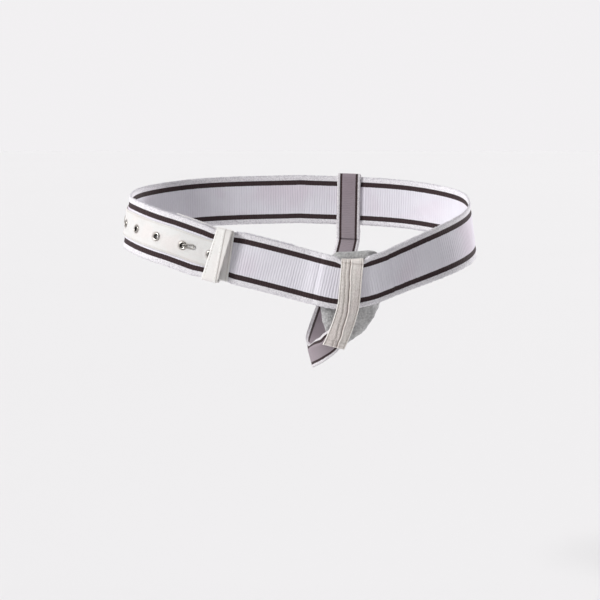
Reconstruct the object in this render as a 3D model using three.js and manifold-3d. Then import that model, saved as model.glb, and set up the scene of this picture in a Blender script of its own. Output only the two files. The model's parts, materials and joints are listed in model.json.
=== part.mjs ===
// A hernia belt for one side: an elastic belt in a ring that dips at the front, closed by a wire hook in an
// eyelet and a leather keeper, with a groin pad held on the belt by a leather loop and an elastic leg strap
// that runs from the pad under the ring's middle and up to the belt's back.
//
// Millimetres, +Z up. The front faces -Y and the pad is on the +X side. The origin is the ring's centre.
import * as THREE from "three";
import { mergeVertices } from "three/addons/utils/BufferGeometryUtils.js";
import Module from "manifold-3d";

const wasm = await Module();
wasm.setup();

// Air kept between two pieces that lie on each other
const GAP = 0.3;

// The ring, measured on the belt's inner face: its full width, and how far it reaches to the front and back
const RING_WIDTH = 336;
const RING_FRONT = 92;
const RING_BACK = 110;
// 2 is an ellipse, and more is squarer
const RING_SQUARENESS = 2.4;
// How much lower the belt's middle line lies at the pad than at the back
const BELT_DROP = 73.7;
// Height of the belt's middle line at the back above the origin
const BACK_RISE = 36;

const BELT_WIDTH = 50;
const BELT_THICK = 2.2;
// How much narrower the keeper squeezes both layers of the belt
const BELT_PINCH = 2.4;

// The closure: the keeper's distance along the belt from the ring's front middle towards -X, and the hooked
// eyelet's distance past it
const KEEPER_AT = 0.235 * RING_WIDTH;
const HOOK_REACH = 34.7;
const KEEPER_WIDTH = 14.8;
const KEEPER_THICK = 1.3;
const KEEPER_CORNER = 2.4;
// Room between the keeper and the belt's edges and back
const KEEPER_EASE = 0.4;
// Slants across the belt, as a shift along it for each millimetre up
const KEEPER_SLANT = 0.06;
const PATCH_SLANT = -0.07;
const PATCH_THICK = 1.4;
// How far the leather patch shows past the keeper, and how far it and the belt run past the hooked eyelet
const PATCH_SHOWS = 4.5;
const END_PAST_HOOK = 16;
// Room between the patch and the belt's outer end, which the eyelets' back washers take
const LAYER_ROOM = 1.1;
// Length of the outer end's climb, and how far before the inner end it is over
const LIFT_RAMP = 60;
const LIFT_BEFORE = 4;
// How much lower than the inner end the outer end lies
const OUTER_DROP = 1.3;
// How far short of the keeper's far edge the outer end stops
const OUTER_END_SHORT = 3;

const TAB_WIDTH = 26;
const TAB_THICK = 1.2;
const TAB_CORNER = 9;
const TAB_PAST_EYELET = 14;
const EYELET_COUNT = 6;
const EYELET_PITCH = 28;
// The eyelets' middle line under the belt's
const EYELET_BELOW = 0.7;
const EYELET_HOLE = 4.6;
const EYELET_WALL = 0.55;
const EYELET_FLANGE = 8.2;
const EYELET_FLANGE_THICK = 0.8;
const EYELET_WASHER = 7.4;
const EYELET_WASHER_THICK = 0.5;

const HOOK_WIRE = 1.1;
const HOOK_STEM_SPACING = 1.6;
const HOOK_TIP_SPACING = 3.3;
const HOOK_LENGTH = 12.6;
const HOOK_BASE = 13;
const HOOK_TILT = 12;

const PAD_AT = 49;
const PAD_WIDTH = 72;
const PAD_HEIGHT = 97;
const PAD_THICK = 25;
// How far the pad's front face lies under its outline's rim, and how far the pad pushes the belt out
const PAD_CROWN = 7;
const PAD_PUSH = 5;
// Shares of half the pad's width at which the push starts to ease off, and is gone
const PUSH_EASES = 0.55;
const PUSH_GONE = 1.35;
// Shares of PAD_WIDTH before and after the pad's middle between which the belt is made in closer steps
const BEND_BEFORE = 0.65;
const BEND_AFTER = 0.95;
// The pad's middle under the belt's middle line
const PAD_BELOW = 19.5;
// Radius on which everything turns back below the belt
const TUCK_RADIUS = 84;

const LOOP_WIDTH = 20.4;
const LOOP_THICK = 1.3;
const LOOP_BELOW_BELT = 34.3;
// The loop's middle at the belt beside the pad's, its slant as a shift across for each millimetre up, how far
// its lower end swings to -X, and the power of that swing's curve
const LOOP_BESIDE = -1.6;
const LOOP_LEAN = 0.1;
const LOOP_SWEEP = 15.6;
const LOOP_SWING = 1.45;
// How far the loop presses the belt's upper edge down
const LOOP_DENT = 3.2;
// Height of the turn over the belt's edge, as a share of half its depth
const LOOP_TURN = 0.3;
// How squarely the loop is cut across its own line
const LOOP_SQUARE = 0.6;
const LOOP_BACK_LENGTH = 38;

const LEG_WIDTH = 24;
const LEG_THICK = 1.8;
// How far the leg strap runs up under the leather, how far its middle lies to the side of the leather's, and
// how far it drops below the leather's end
const LEG_OVERLAP = 17;
const LEG_OFFSET = -4.2;
const LEG_DROP = 17;
const LEG_BACK_AT = 50;
const LEG_LOOP_TAIL = 14;
// Room between the strap's loop and the belt's back
const LEG_EASE = 0.5;
// The edge that rolls in: how wide it is, and the degrees of its roll at the leather's end
const LEG_CURL_WIDTH = 8;
const LEG_CURL_START = 90;

const BELT_STEP = 7;
const DEG = Math.PI / 180;
const WHITE_ELASTIC = 0xecebf2;
const CREAM_LEATHER = 0xe9e6de;
const PAD_COTTON = 0xdfe0da;
const NICKEL = 0xb9b6ad;

// The belt's course round the ring. bearing: degrees from the front, positive towards +X. height: share of
// BELT_DROP above the lowest point. lean: degrees that the lower edge stands out further than the upper.
const COURSE = [
  { bearing: -180, height: 1.0, lean: 9 },
  { bearing: -135, height: 0.96, lean: 9 },
  { bearing: -108, height: 0.86, lean: 8 },
  { bearing: -90, height: 0.768, lean: 7.4 },
  { bearing: -75, height: 0.697, lean: 7 },
  { bearing: -61, height: 0.576, lean: 5 },
  { bearing: -46, height: 0.407, lean: 2 },
  { bearing: -25, height: 0.265, lean: -1 },
  { bearing: 0, height: 0.119, lean: -3 },
  { bearing: 12, height: 0.052, lean: -5 },
  { bearing: 24, height: 0.0, lean: -9 },
  { bearing: 35, height: 0.031, lean: -18 },
  { bearing: 44, height: 0.116, lean: -20 },
  { bearing: 52, height: 0.218, lean: -16 },
  { bearing: 59, height: 0.312, lean: -8 },
  { bearing: 65, height: 0.392, lean: -2 },
  { bearing: 72, height: 0.481, lean: 4 },
  { bearing: 82, height: 0.6, lean: 7.4 },
  { bearing: 92, height: 0.699, lean: 7.6 },
  { bearing: 108, height: 0.818, lean: 8 },
  { bearing: 135, height: 0.944, lean: 9 },
  { bearing: 180, height: 1.0, lean: 9 },
];

// The pad's outline, round from its top. across and up: shares of PAD_WIDTH and PAD_HEIGHT from its middle.
const PAD_OUTLINE = [
  { across: 0.04, up: 0.505 },
  { across: 0.37, up: 0.49 },
  { across: 0.53, up: 0.36 },
  { across: 0.5, up: 0.12 },
  { across: 0.33, up: -0.16 },
  { across: 0.07, up: -0.41 },
  { across: -0.18, up: -0.5 },
  { across: -0.34, up: -0.36 },
  { across: -0.44, up: -0.08 },
  { across: -0.48, up: 0.15 },
  { across: -0.42, up: 0.34 },
  { across: -0.24, up: 0.455 },
];

// The leg strap between the leather loop and the belt's back. across: share of LEG_BACK_AT from the middle.
// along: share of the way from the loop's end back to the ring's back. down: share of LEG_DROP below the
// loop's end, negative above it. twist: degrees that its +X edge is turned down from lying flat across.
// curl: degrees that its -X edge is rolled in.
const LEG_ROUTE = [
  { across: 0.36, along: 0.08, down: 0.45, twist: 40, curl: 95 },
  { across: 0.24, along: 0.18, down: 0.76, twist: 66, curl: 80 },
  { across: 0.2, along: 0.37, down: 1.0, twist: 72, curl: 40 },
  { across: 0.28, along: 0.575, down: 0.58, twist: 48, curl: 0 },
  { across: 0.5, along: 0.765, down: -0.9, twist: 24, curl: 0 },
  { across: 0.78, along: 0.93, down: -3.1, twist: 8, curl: 0 },
];

// Value of a column at a place in a table, on a smooth curve through its rows
function fromTable(rows, key, column, place) {
  let i = 1;
  while (i < rows.length - 1 && rows[i][key] < place) i += 1;
  const slope = (a, b) => (rows[b][column] - rows[a][column]) / (rows[b][key] - rows[a][key]);
  const before = Math.max(i - 2, 0);
  const after = Math.min(i + 1, rows.length - 1);
  const run = rows[i][key] - rows[i - 1][key];
  const t = (place - rows[i - 1][key]) / run;
  const startSlope = slope(before, i) * run;
  const endSlope = slope(i - 1, after) * run;
  return (
    (2 * t ** 3 - 3 * t ** 2 + 1) * rows[i - 1][column] +
    (t ** 3 - 2 * t ** 2 + t) * startSlope +
    (-2 * t ** 3 + 3 * t ** 2) * rows[i][column] +
    (t ** 3 - t ** 2) * endSlope
  );
}

// 0 up to start, 1 from end on, smooth between
const smoothStep = (value, start, end) => THREE.MathUtils.smoothstep(value, start, end);

const signedPower = (value, power) => Math.sign(value) * Math.abs(value) ** power;

// How far the pad pushes the ring's front out at a distance across from the middle
function padPush(across) {
  const away = Math.abs(across - PAD_AT) / (PAD_WIDTH / 2);
  return PAD_PUSH * (1 - smoothStep(away, PUSH_EASES, PUSH_GONE));
}

// The ring in plan at an angle of its formula: the point, its outward direction and its bearing
function ringPlan(angle) {
  const halfWidth = RING_WIDTH / 2;
  const depth = Math.cos(angle) > 0 ? RING_FRONT : RING_BACK;
  const x = halfWidth * signedPower(Math.sin(angle), 2 / RING_SQUARENESS);
  const y = -depth * signedPower(Math.cos(angle), 2 / RING_SQUARENESS);
  const outward = new THREE.Vector2(
    signedPower(x / halfWidth, RING_SQUARENESS - 1) / halfWidth,
    signedPower(y / depth, RING_SQUARENESS - 1) / depth,
  ).normalize();
  const bearing = Math.atan2(x, -y) / DEG;
  const push = y < 0 ? padPush(x) : 0;
  return { x: x + outward.x * push, y: y + outward.y * push, outward, bearing };
}

const heightAt = (bearing) => BACK_RISE - BELT_DROP * (1 - fromTable(COURSE, "bearing", "height", bearing));
const leanAt = (bearing) => fromTable(COURSE, "bearing", "lean", bearing) * DEG;

// The course as a closed run of points on the belt's inner face, with the length from the front's middle
const COURSE_POINTS = 1440;
const course = [];
for (let i = 0; i <= COURSE_POINTS; i += 1) {
  const plan = ringPlan(((i / COURSE_POINTS) * 2 - 1) * Math.PI);
  const bearing = i === 0 ? -180 : i === COURSE_POINTS ? 180 : plan.bearing;
  const point = new THREE.Vector3(plan.x, plan.y, heightAt(bearing));
  const length = i === 0 ? 0 : course[i - 1].length + point.distanceTo(course[i - 1].point);
  course.push({ point, length, outward: plan.outward, lean: leanAt(bearing) });
}
const RING_LENGTH = course[COURSE_POINTS].length;
const FRONT_LENGTH = course[COURSE_POINTS / 2].length;

// The course at a length from the front's middle, positive towards +X
function courseAt(length) {
  const wrapped = THREE.MathUtils.euclideanModulo(length + FRONT_LENGTH, RING_LENGTH);
  let low = 0;
  let high = COURSE_POINTS;
  while (high - low > 1) {
    const middle = (low + high) >> 1;
    if (course[middle].length > wrapped) high = middle;
    else low = middle;
  }
  const t = (wrapped - course[low].length) / (course[high].length - course[low].length);
  return {
    point: course[low].point.clone().lerp(course[high].point, t),
    outward: course[low].outward.clone().lerp(course[high].outward, t).normalize(),
    lean: THREE.MathUtils.lerp(course[low].lean, course[high].lean, t),
  };
}

// Where the pieces of the closure lie along the belt, as lengths from the front's middle
const keeperPlace = -KEEPER_AT;
const hookPlace = keeperPlace - HOOK_REACH;
const innerEnd = hookPlace - END_PAST_HOOK;
const patchEdge = keeperPlace + KEEPER_WIDTH / 2 + PATCH_SHOWS;
const outerEnd = RING_LENGTH + keeperPlace + KEEPER_WIDTH / 2 - OUTER_END_SHORT;
const patchFace = BELT_THICK + GAP + PATCH_THICK;
const LIFT = patchFace + LAYER_ROOM;

// How far the belt stands off the ring: it climbs over its own inner end
const liftAt = (length) => {
  const fullAt = RING_LENGTH + innerEnd - LIFT_BEFORE;
  return LIFT * smoothStep(length, fullAt - LIFT_RAMP, fullAt);
};

const pinchAt = (length) => {
  const away = Math.abs(THREE.MathUtils.euclideanModulo(length - keeperPlace + 100, RING_LENGTH) - 100);
  return BELT_PINCH * (1 - smoothStep(away, KEEPER_WIDTH / 2 + 2, KEEPER_WIDTH / 2 + 14));
};
const beltWidthAt = (length) => BELT_WIDTH - pinchAt(length);

// How far the belt's upper edge is pressed down at a length, under the leather loop
const dentAt = (length) => {
  const away = Math.abs(length - padLength - LOOP_BESIDE - (LOOP_LEAN * BELT_WIDTH) / 2);
  return LOOP_DENT * (1 - smoothStep(away, LOOP_WIDTH / 2 + 0.5, LOOP_WIDTH / 2 + 12));
};

// Length at which the course passes the pad's middle
const padLength = (() => {
  let low = 0;
  let high = RING_LENGTH / 4;
  while (high - low > 1e-4) {
    const middle = (low + high) / 2;
    if (courseAt(middle).point.x > PAD_AT) high = middle;
    else low = middle;
  }
  return low;
})();

// The belt's frame at a length: a point on its inner face's middle line, and its directions
function beltFrame(length) {
  const lifted = (at) => {
    const place = courseAt(at);
    const out = new THREE.Vector3(place.outward.x, place.outward.y, 0).multiplyScalar(Math.cos(place.lean));
    out.z = Math.sin(place.lean);
    const point = place.point.clone().addScaledVector(out, liftAt(at));
    point.z -= (OUTER_DROP * liftAt(at)) / LIFT;
    return { point, out };
  };
  const here = lifted(length);
  const along = lifted(length + 1).point.sub(lifted(length - 1).point).normalize();
  const up = here.out.clone().cross(along).normalize();
  const out = along.clone().cross(up).normalize();
  return { point: here.point, along, up, out };
}

// A point at a frame, by its distances along, up and out
const inFrame = (frame, along, up, out) =>
  frame.point
    .clone()
    .addScaledVector(frame.along, along)
    .addScaledVector(frame.up, up)
    .addScaledVector(frame.out, out);

const onBelt = (length, up, out) => inFrame(beltFrame(length), 0, up, out);

// Evenly spaced values from one to another, no further apart than a step
function steps(from, to, step) {
  const count = Math.max(1, Math.ceil(Math.abs(to - from) / step));
  return Array.from({ length: count + 1 }, (_, i) => from + ((to - from) * i) / count);
}

// A solid through rings of points. An open one gets caps, which pair each point with the one across the strip.
function loft(rings, closed = false) {
  const around = rings[0].length;
  const position = rings.flat().flatMap((p) => [p.x, p.y, p.z]);
  const index = [];
  const last = closed ? rings.length : rings.length - 1;
  for (let r = 0; r < last; r += 1) {
    const a = r * around;
    const b = ((r + 1) % rings.length) * around;
    for (let i = 0; i < around; i += 1) {
      const j = (i + 1) % around;
      index.push(a + i, b + i, a + j, a + j, b + i, b + j);
    }
  }
  for (let i = 0; !closed && i < around / 2 - 1; i += 1) {
    const across = around - 1 - i;
    const end = (rings.length - 1) * around;
    index.push(i, i + 1, across, i + 1, across - 1, across);
    index.push(end + i, end + across, end + i + 1, end + i + 1, end + across, end + across - 1);
  }
  return facingOut(position, index);
}

// Geometry whose faces point out, whichever way round its rings ran
function facingOut(position, index) {
  const corner = (i) => new THREE.Vector3().fromArray(position, 3 * i);
  let volume = 0;
  for (let i = 0; i < index.length; i += 3)
    volume += corner(index[i]).dot(corner(index[i + 1]).cross(corner(index[i + 2])));
  if (volume < 0)
    for (let i = 0; i < index.length; i += 3)
      [index[i + 1], index[i + 2]] = [index[i + 2], index[i + 1]];
  const geometry = new THREE.BufferGeometry();
  geometry.setAttribute("position", new THREE.Float32BufferAttribute(position, 3));
  geometry.setIndex(index);
  return geometry;
}

// A strip's section as [across, out] pairs: flat, with its corners taken off
function stripSection(width, thick, out = 0, corner = 0.35 * thick) {
  const half = width / 2;
  return [
    [-half + corner, out + thick],
    [half - corner, out + thick],
    [half, out + thick - corner],
    [half, out + corner],
    [half - corner, out],
    [-half + corner, out],
    [-half, out + corner],
    [-half, out + thick - corner],
  ];
}

// Loft of a strip that lies along the belt through some places, with a slant across it
function beltStrip(places, widthAt, thick, out, slant = 0, loweredAt = () => 0) {
  return loft(
    places.map((length) => {
      const lowered = loweredAt(length);
      return stripSection(widthAt(length) - lowered, thick, out).map(([across, away]) =>
        onBelt(length + slant * across, across - lowered / 2, away),
      );
    }),
  );
}

function solidOf(geometry) {
  const bare = new THREE.BufferGeometry();
  bare.setAttribute("position", geometry.getAttribute("position"));
  if (geometry.index) bare.setIndex(geometry.index);
  const merged = mergeVertices(bare, 1e-4);
  return new wasm.Manifold(
    new wasm.Mesh({
      numProp: 3,
      vertProperties: merged.attributes.position.array,
      triVerts: new Uint32Array(merged.index.array),
    }),
  );
}

function geometryOf(solid) {
  const mesh = solid.getMesh();
  const geometry = new THREE.BufferGeometry();
  geometry.setAttribute("position", new THREE.Float32BufferAttribute(mesh.vertProperties, 3));
  geometry.setIndex(Array.from(mesh.triVerts));
  return geometry;
}

// A geometry made round +Z, moved to a frame with +Z along the frame's outward direction
function placedOn(geometry, frame, out) {
  const matrix = new THREE.Matrix4().makeBasis(frame.along, frame.up, frame.out);
  matrix.setPosition(inFrame(frame, 0, 0, out));
  return geometry.clone().applyMatrix4(matrix);
}

const tabFace = BELT_THICK + GAP + TAB_THICK;
const eyeletPlaces = Array.from(
  { length: EYELET_COUNT },
  (_, i) => RING_LENGTH + hookPlace + EYELET_PITCH * (1 - i),
);

// The belt's frame at an eyelet, on the eyelets' middle line
function eyeletFrame(place) {
  const frame = beltFrame(place);
  frame.point.addScaledVector(frame.up, -EYELET_BELOW);
  return frame;
}

// The belt and the tab, with a hole at each eyelet
function punched(geometry) {
  const barrel = EYELET_HOLE / 2 + EYELET_WALL;
  const length = tabFace + LAYER_ROOM;
  const punch = new THREE.CylinderGeometry(barrel + GAP, barrel + GAP, length, 16).rotateX(Math.PI / 2);
  return geometryOf(
    eyeletPlaces.reduce((left, place) => {
      const cutter = solidOf(placedOn(punch, eyeletFrame(place), length / 2 - LAYER_ROOM / 2));
      return left.subtract(cutter);
    }, solidOf(geometry)),
  );
}

// The elastic belt, in closer steps where it bends and twists over the pad
function beltGeometry() {
  const bendStart = PAD_AT - PAD_WIDTH * BEND_BEFORE;
  const bendEnd = PAD_AT + PAD_WIDTH * BEND_AFTER;
  const places = [
    ...steps(innerEnd, bendStart, BELT_STEP).slice(0, -1),
    ...steps(bendStart, bendEnd, BELT_STEP / 2),
    ...steps(bendEnd, outerEnd, BELT_STEP).slice(1),
  ];
  return punched(beltStrip(places, beltWidthAt, BELT_THICK, 0, 0, dentAt));
}

// The tab under the eyelets: a strip with a rounded far end
function tabGeometry() {
  const from = eyeletPlaces[EYELET_COUNT - 1] - TAB_PAST_EYELET;
  const width = (length) => {
    const past = THREE.MathUtils.clamp(1 - (length - from) / TAB_CORNER, 0, 0.92);
    return TAB_WIDTH - 2 * TAB_CORNER * (1 - Math.sqrt(1 - past * past));
  };
  const rounded = steps(from, from + TAB_CORNER, TAB_CORNER / 4).slice(0, -1);
  const places = [...rounded, ...steps(from + TAB_CORNER, outerEnd, BELT_STEP)];
  return punched(beltStrip(places, width, TAB_THICK, BELT_THICK + GAP));
}

// One eyelet about its own axis, with its outer flange's seat at zero
function eyeletGeometry() {
  const hole = EYELET_HOLE / 2;
  const barrel = hole + EYELET_WALL;
  const flange = EYELET_FLANGE / 2;
  const washer = EYELET_WASHER / 2;
  const through = tabFace + 2 * GAP;
  const profile = [
    [hole, -through - 0.6 * EYELET_WASHER_THICK],
    [hole, 0.3 * EYELET_FLANGE_THICK],
    [barrel, 0.85 * EYELET_FLANGE_THICK],
    [(barrel + flange) / 2, EYELET_FLANGE_THICK],
    [flange - 0.35, 0.75 * EYELET_FLANGE_THICK],
    [flange, 0.2],
    [flange - 0.2, 0],
    [barrel, 0],
    [barrel, -through],
    [washer, -through],
    [washer, -through - EYELET_WASHER_THICK],
    [barrel, -through - EYELET_WASHER_THICK],
    [hole, -through - 0.6 * EYELET_WASHER_THICK],
  ];
  const turned = new THREE.LatheGeometry(profile.map(([r, h]) => new THREE.Vector2(r, h)), 16);
  const solid = mergeVertices(turned.deleteAttribute("normal").deleteAttribute("uv").rotateX(Math.PI / 2), 1e-4);
  return facingOut(Array.from(solid.attributes.position.array), Array.from(solid.index.array));
}

const eyelets = () =>
  eyeletPlaces.map((place) => placedOn(eyeletGeometry(), eyeletFrame(place), tabFace + GAP));

// The wire hook: two legs under the outer end, up through the eyelet and back over it in a loop
function hookRoute() {
  const frame = eyeletFrame(RING_LENGTH + hookPlace);
  const stem = HOOK_STEM_SPACING / 2;
  const tip = HOOK_TIP_SPACING / 2;
  const wire = HOOK_WIRE / 2;
  const under = BELT_THICK - LIFT + 2 * GAP + wire;
  const over = tabFace + GAP + EYELET_FLANGE_THICK + GAP + wire;
  const onTab = tabFace + GAP + wire + 0.25;
  const side = [
    [HOOK_BASE, stem, under],
    [HOOK_BASE * 0.5, stem, under],
    [2.2, stem, under],
    [0.5, stem, under + 0.5],
    [0, stem, under + 2],
    [0, stem, 0.5 * tabFace],
    [0, stem, over - 1.4],
    [0.5, stem, over - 0.4],
    [1.7, stem, over],
    [EYELET_FLANGE / 2 + 0.4, THREE.MathUtils.lerp(stem, tip, 0.45), over - 0.1],
    [HOOK_LENGTH * 0.62, THREE.MathUtils.lerp(stem, tip, 0.9), onTab + 0.3],
    [HOOK_LENGTH - wire - tip, tip, onTab],
    [HOOK_LENGTH - wire - 0.3 * tip, 0.72 * tip, onTab],
  ];
  const end = [HOOK_LENGTH - wire, 0, onTab];
  const tilt = HOOK_TILT * DEG;
  const point = ([along, across, out]) => {
    const turned = along * Math.cos(tilt) - across * Math.sin(tilt);
    const raised = along * Math.sin(tilt) + across * Math.cos(tilt);
    return inFrame(frame, turned, raised, out);
  };
  const back = side.map(([along, across, out]) => [along, -across, out]).reverse();
  return new THREE.CatmullRomCurve3([...side, end, ...back].map(point), false, "centripetal");
}

// A round wire along a curve, with its section carried along without twist
function wireGeometry(curve, thick, sides, count) {
  let across = new THREE.Vector3();
  const rings = [];
  for (let i = 0; i <= count; i += 1) {
    const tangent = curve.getTangentAt(i / count);
    if (i === 0) across.set(0, 0, 1).cross(tangent).normalize();
    across = across.addScaledVector(tangent, -across.dot(tangent)).normalize();
    const other = tangent.clone().cross(across);
    rings.push(
      Array.from({ length: sides }, (_, k) => {
        const turn = ((k + 0.5) / sides) * 2 * Math.PI;
        return curve
          .getPointAt(i / count)
          .addScaledVector(across, (Math.cos(turn) * thick) / 2)
          .addScaledVector(other, (Math.sin(turn) * thick) / 2);
      }),
    );
  }
  return loft(rings);
}

// The leather patch on the belt's inner end, with a slot that the hook's legs lie in
function patchGeometry() {
  const places = steps(innerEnd + 2, patchEdge, 5);
  const patch = solidOf(beltStrip(places, beltWidthAt, PATCH_THICK, BELT_THICK + GAP, PATCH_SLANT));
  const slotLength = HOOK_BASE + 4;
  const slotWidth = HOOK_STEM_SPACING + HOOK_WIRE + 1.2;
  const slot = new THREE.BoxGeometry(slotLength, slotWidth, 3 * PATCH_THICK)
    .translate(slotLength / 2 - 2.4, 0, 0)
    .rotateZ(HOOK_TILT * DEG);
  const seat = patchFace - PATCH_THICK / 2 - LIFT;
  return geometryOf(patch.subtract(solidOf(placedOn(slot, eyeletFrame(RING_LENGTH + hookPlace), seat))));
}

// The keeper: a leather strap closed round both layers of the belt
function keeperGeometry() {
  const top = LIFT + tabFace + EYELET_FLANGE_THICK + 2 * GAP + KEEPER_THICK / 2;
  const bottom = -KEEPER_EASE - KEEPER_THICK / 2;
  const high = (BELT_WIDTH - BELT_PINCH) / 2 + KEEPER_EASE + KEEPER_THICK / 2;
  const low = -high - OUTER_DROP;
  const turn = new THREE.Path();
  turn.absarc(high - KEEPER_CORNER, top - KEEPER_CORNER, KEEPER_CORNER, 0, Math.PI / 2);
  turn.absarc(low + KEEPER_CORNER, top - KEEPER_CORNER, KEEPER_CORNER, Math.PI / 2, Math.PI);
  turn.absarc(low + KEEPER_CORNER, bottom + KEEPER_CORNER, KEEPER_CORNER, Math.PI, 1.5 * Math.PI);
  turn.absarc(high - KEEPER_CORNER, bottom + KEEPER_CORNER, KEEPER_CORNER, 1.5 * Math.PI, 2 * Math.PI);
  const outline = turn.getPoints(4);
  const rings = outline.map((point, i) => {
    const before = outline[(i + outline.length - 1) % outline.length];
    const after = outline[(i + 1) % outline.length];
    const direction = after.clone().sub(before).normalize();
    const away = new THREE.Vector2(direction.y, -direction.x);
    return stripSection(KEEPER_WIDTH, KEEPER_THICK, -KEEPER_THICK / 2).map(([along, out]) =>
      onBelt(
        keeperPlace + along + KEEPER_SLANT * point.x,
        point.x + away.x * out,
        point.y + away.y * out,
      ),
    );
  });
  return loft(rings, true);
}

// The surface that the pad and the straps below the belt follow: the belt's inner face by the pad, carried on
// up and down, and turned back on an arc below the belt
const padHeight = courseAt(padLength).point.z;
const beltFoot = padHeight - BELT_WIDTH / 2;

// The ring's front at a distance across from the middle
const frontAt = (x) =>
  -RING_FRONT * (1 - (Math.abs(x) / (RING_WIDTH / 2)) ** RING_SQUARENESS) ** (1 / RING_SQUARENESS) - padPush(x);
const bearingAcross = (x) => Math.atan2(x, -frontAt(x)) / DEG;

const padLean = Math.tan(leanAt(bearingAcross(PAD_AT)));

function faceAt(x, z) {
  const reach = BELT_WIDTH / 2;
  let length = padLength + x - PAD_AT;
  let up = 0;
  for (let i = 0; i < 6; i += 1) {
    const frame = beltFrame(length);
    const point = inFrame(frame, 0, up, 0);
    length += (x - point.x) / frame.along.x;
    up = THREE.MathUtils.clamp(up + (z - point.z) / frame.up.z, -reach, reach);
  }
  const point = onBelt(length, up, 0);
  const beyond = z - point.z;
  const below = THREE.MathUtils.clamp(-beyond - 2, 0, 0.9 * TUCK_RADIUS);
  const tuck = TUCK_RADIUS - Math.sqrt(TUCK_RADIUS ** 2 - below ** 2);
  return new THREE.Vector3(x, point.y + beyond * padLean + tuck, z);
}

// That surface's outward direction
function faceOut(x, z) {
  const across = faceAt(x + 1, z).sub(faceAt(x - 1, z));
  const up = faceAt(x, z + 1).sub(faceAt(x, z - 1));
  return across.cross(up).normalize();
}

const offFace = (x, z, out) => faceAt(x, z).addScaledVector(faceOut(x, z), out);

// The pad: its outline as a smooth closed curve, a slightly crowned front and a domed back
function padGeometry() {
  const outline = new THREE.CatmullRomCurve3(
    PAD_OUTLINE.map(({ across, up }) => new THREE.Vector3(across * PAD_WIDTH, up * PAD_HEIGHT, 0)),
    true,
  );
  const around = outline.getSpacedPoints(40).slice(0, -1);
  const seat = LOOP_THICK + 4 * GAP;
  const rim = (share) => (1 - share ** 3) ** 0.5;
  const shares = [0.28, 0.54, 0.75, 0.89, 0.97];
  const ring = (share, depth) =>
    around.map((p) => offFace(PAD_AT + share * p.x, padHeight - PAD_BELOW + share * p.y, -seat - depth));
  const front = shares.map((share) => ring(share, PAD_CROWN * (1 - rim(share))));
  const edge = ring(1, PAD_CROWN);
  const back = shares.map((share) => ring(share, PAD_CROWN + (PAD_THICK - PAD_CROWN) * rim(share)));
  const rings = [...front, edge, ...back.reverse()];
  const count = around.length;
  const position = rings.flat().flatMap((p) => [p.x, p.y, p.z]);
  const index = [];
  for (let r = 0; r < rings.length - 1; r += 1)
    for (let i = 0; i < count; i += 1) {
      const j = (i + 1) % count;
      const a = r * count;
      const b = a + count;
      index.push(a + i, b + i, a + j, a + j, b + i, b + j);
    }
  const middle = (depth) => offFace(PAD_AT, padHeight - PAD_BELOW, -seat - depth).toArray();
  const frontMiddle = position.push(...middle(0)) / 3 - 1;
  const backMiddle = position.push(...middle(PAD_THICK)) / 3 - 1;
  const lastRing = (rings.length - 1) * count;
  for (let i = 0; i < count; i += 1) {
    const j = (i + 1) % count;
    index.push(frontMiddle, i, j, backMiddle, lastRing + j, lastRing + i);
  }
  return facingOut(position, index);
}

// The leather loop's middle line in front of the belt and below it, at a share of the way down
const loopTop = padHeight + (BELT_WIDTH / 2 - LOOP_DENT) * Math.cos(leanAt(bearingAcross(PAD_AT)));
const loopEnd = beltFoot - LOOP_BELOW_BELT;
function loopAcross(z) {
  const slant = LOOP_LEAN * (z - padHeight);
  const bend = padHeight - 0.7 * (BELT_WIDTH / 2);
  const past = Math.max(0, bend - z) / (bend - loopEnd);
  const swing = LOOP_SWEEP + LOOP_LEAN * (loopEnd - padHeight);
  return PAD_AT + LOOP_BESIDE + slant - swing * past ** LOOP_SWING;
}

const strandOut = BELT_THICK + 3.5 * GAP;
const legUnder = GAP;

// A ring of the loop's strip on the face, at a height and a distance off the face
function loopRing(z, out, thickFirst) {
  const slope = (loopAcross(z + 1) - loopAcross(z - 1)) / 2;
  const across = new THREE.Vector2(1, -LOOP_SQUARE * slope).normalize();
  return stripSection(LOOP_WIDTH, LOOP_THICK, 0).map(([side, away]) =>
    offFace(
      loopAcross(z) + side * across.x,
      z + side * across.y,
      out + (thickFirst ? away : LOOP_THICK - away),
    ),
  );
}

// The leather loop: up behind the belt, over its top edge and down in front of it to the leg strap
function loopGeometry() {
  const outer = strandOut;
  const inner = -2 * GAP - LOOP_THICK;
  const behind = steps(loopTop - LOOP_BACK_LENGTH, loopTop, 6).map((z) => loopRing(z, inner, false));
  const turnMiddle = (outer + inner + LOOP_THICK) / 2;
  const turnRadius = (outer - inner) / 2;
  const over = [0.2, 0.4, 0.6, 0.8].map((share) => {
    const turn = Math.PI * share;
    return stripSection(LOOP_WIDTH, LOOP_THICK, 0).map(([side, away]) => {
      const radius = turnRadius - LOOP_THICK / 2;
      const x = loopAcross(loopTop) + side;
      const bearing = bearingAcross(x);
      const edge = heightAt(bearing) + (BELT_WIDTH / 2 - LOOP_DENT) * Math.cos(leanAt(bearing));
      const z = edge + 2 * GAP + (LOOP_TURN * radius + away) * Math.sin(turn);
      return offFace(x, z, turnMiddle - (radius + away) * Math.cos(turn));
    });
  });
  const down = steps(loopTop, beltFoot - 2, 6).map((z) => loopRing(z, outer, true));
  const below = steps(beltFoot - 2, loopEnd, 4).slice(1);
  const settled = legUnder + LEG_THICK + 5 * GAP;
  const tail = below.map((z) =>
    loopRing(z, THREE.MathUtils.lerp(outer, settled, smoothStep(beltFoot - z, 0, 10)), true),
  );
  return loft([...behind, ...over, ...down, ...tail]);
}

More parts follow.
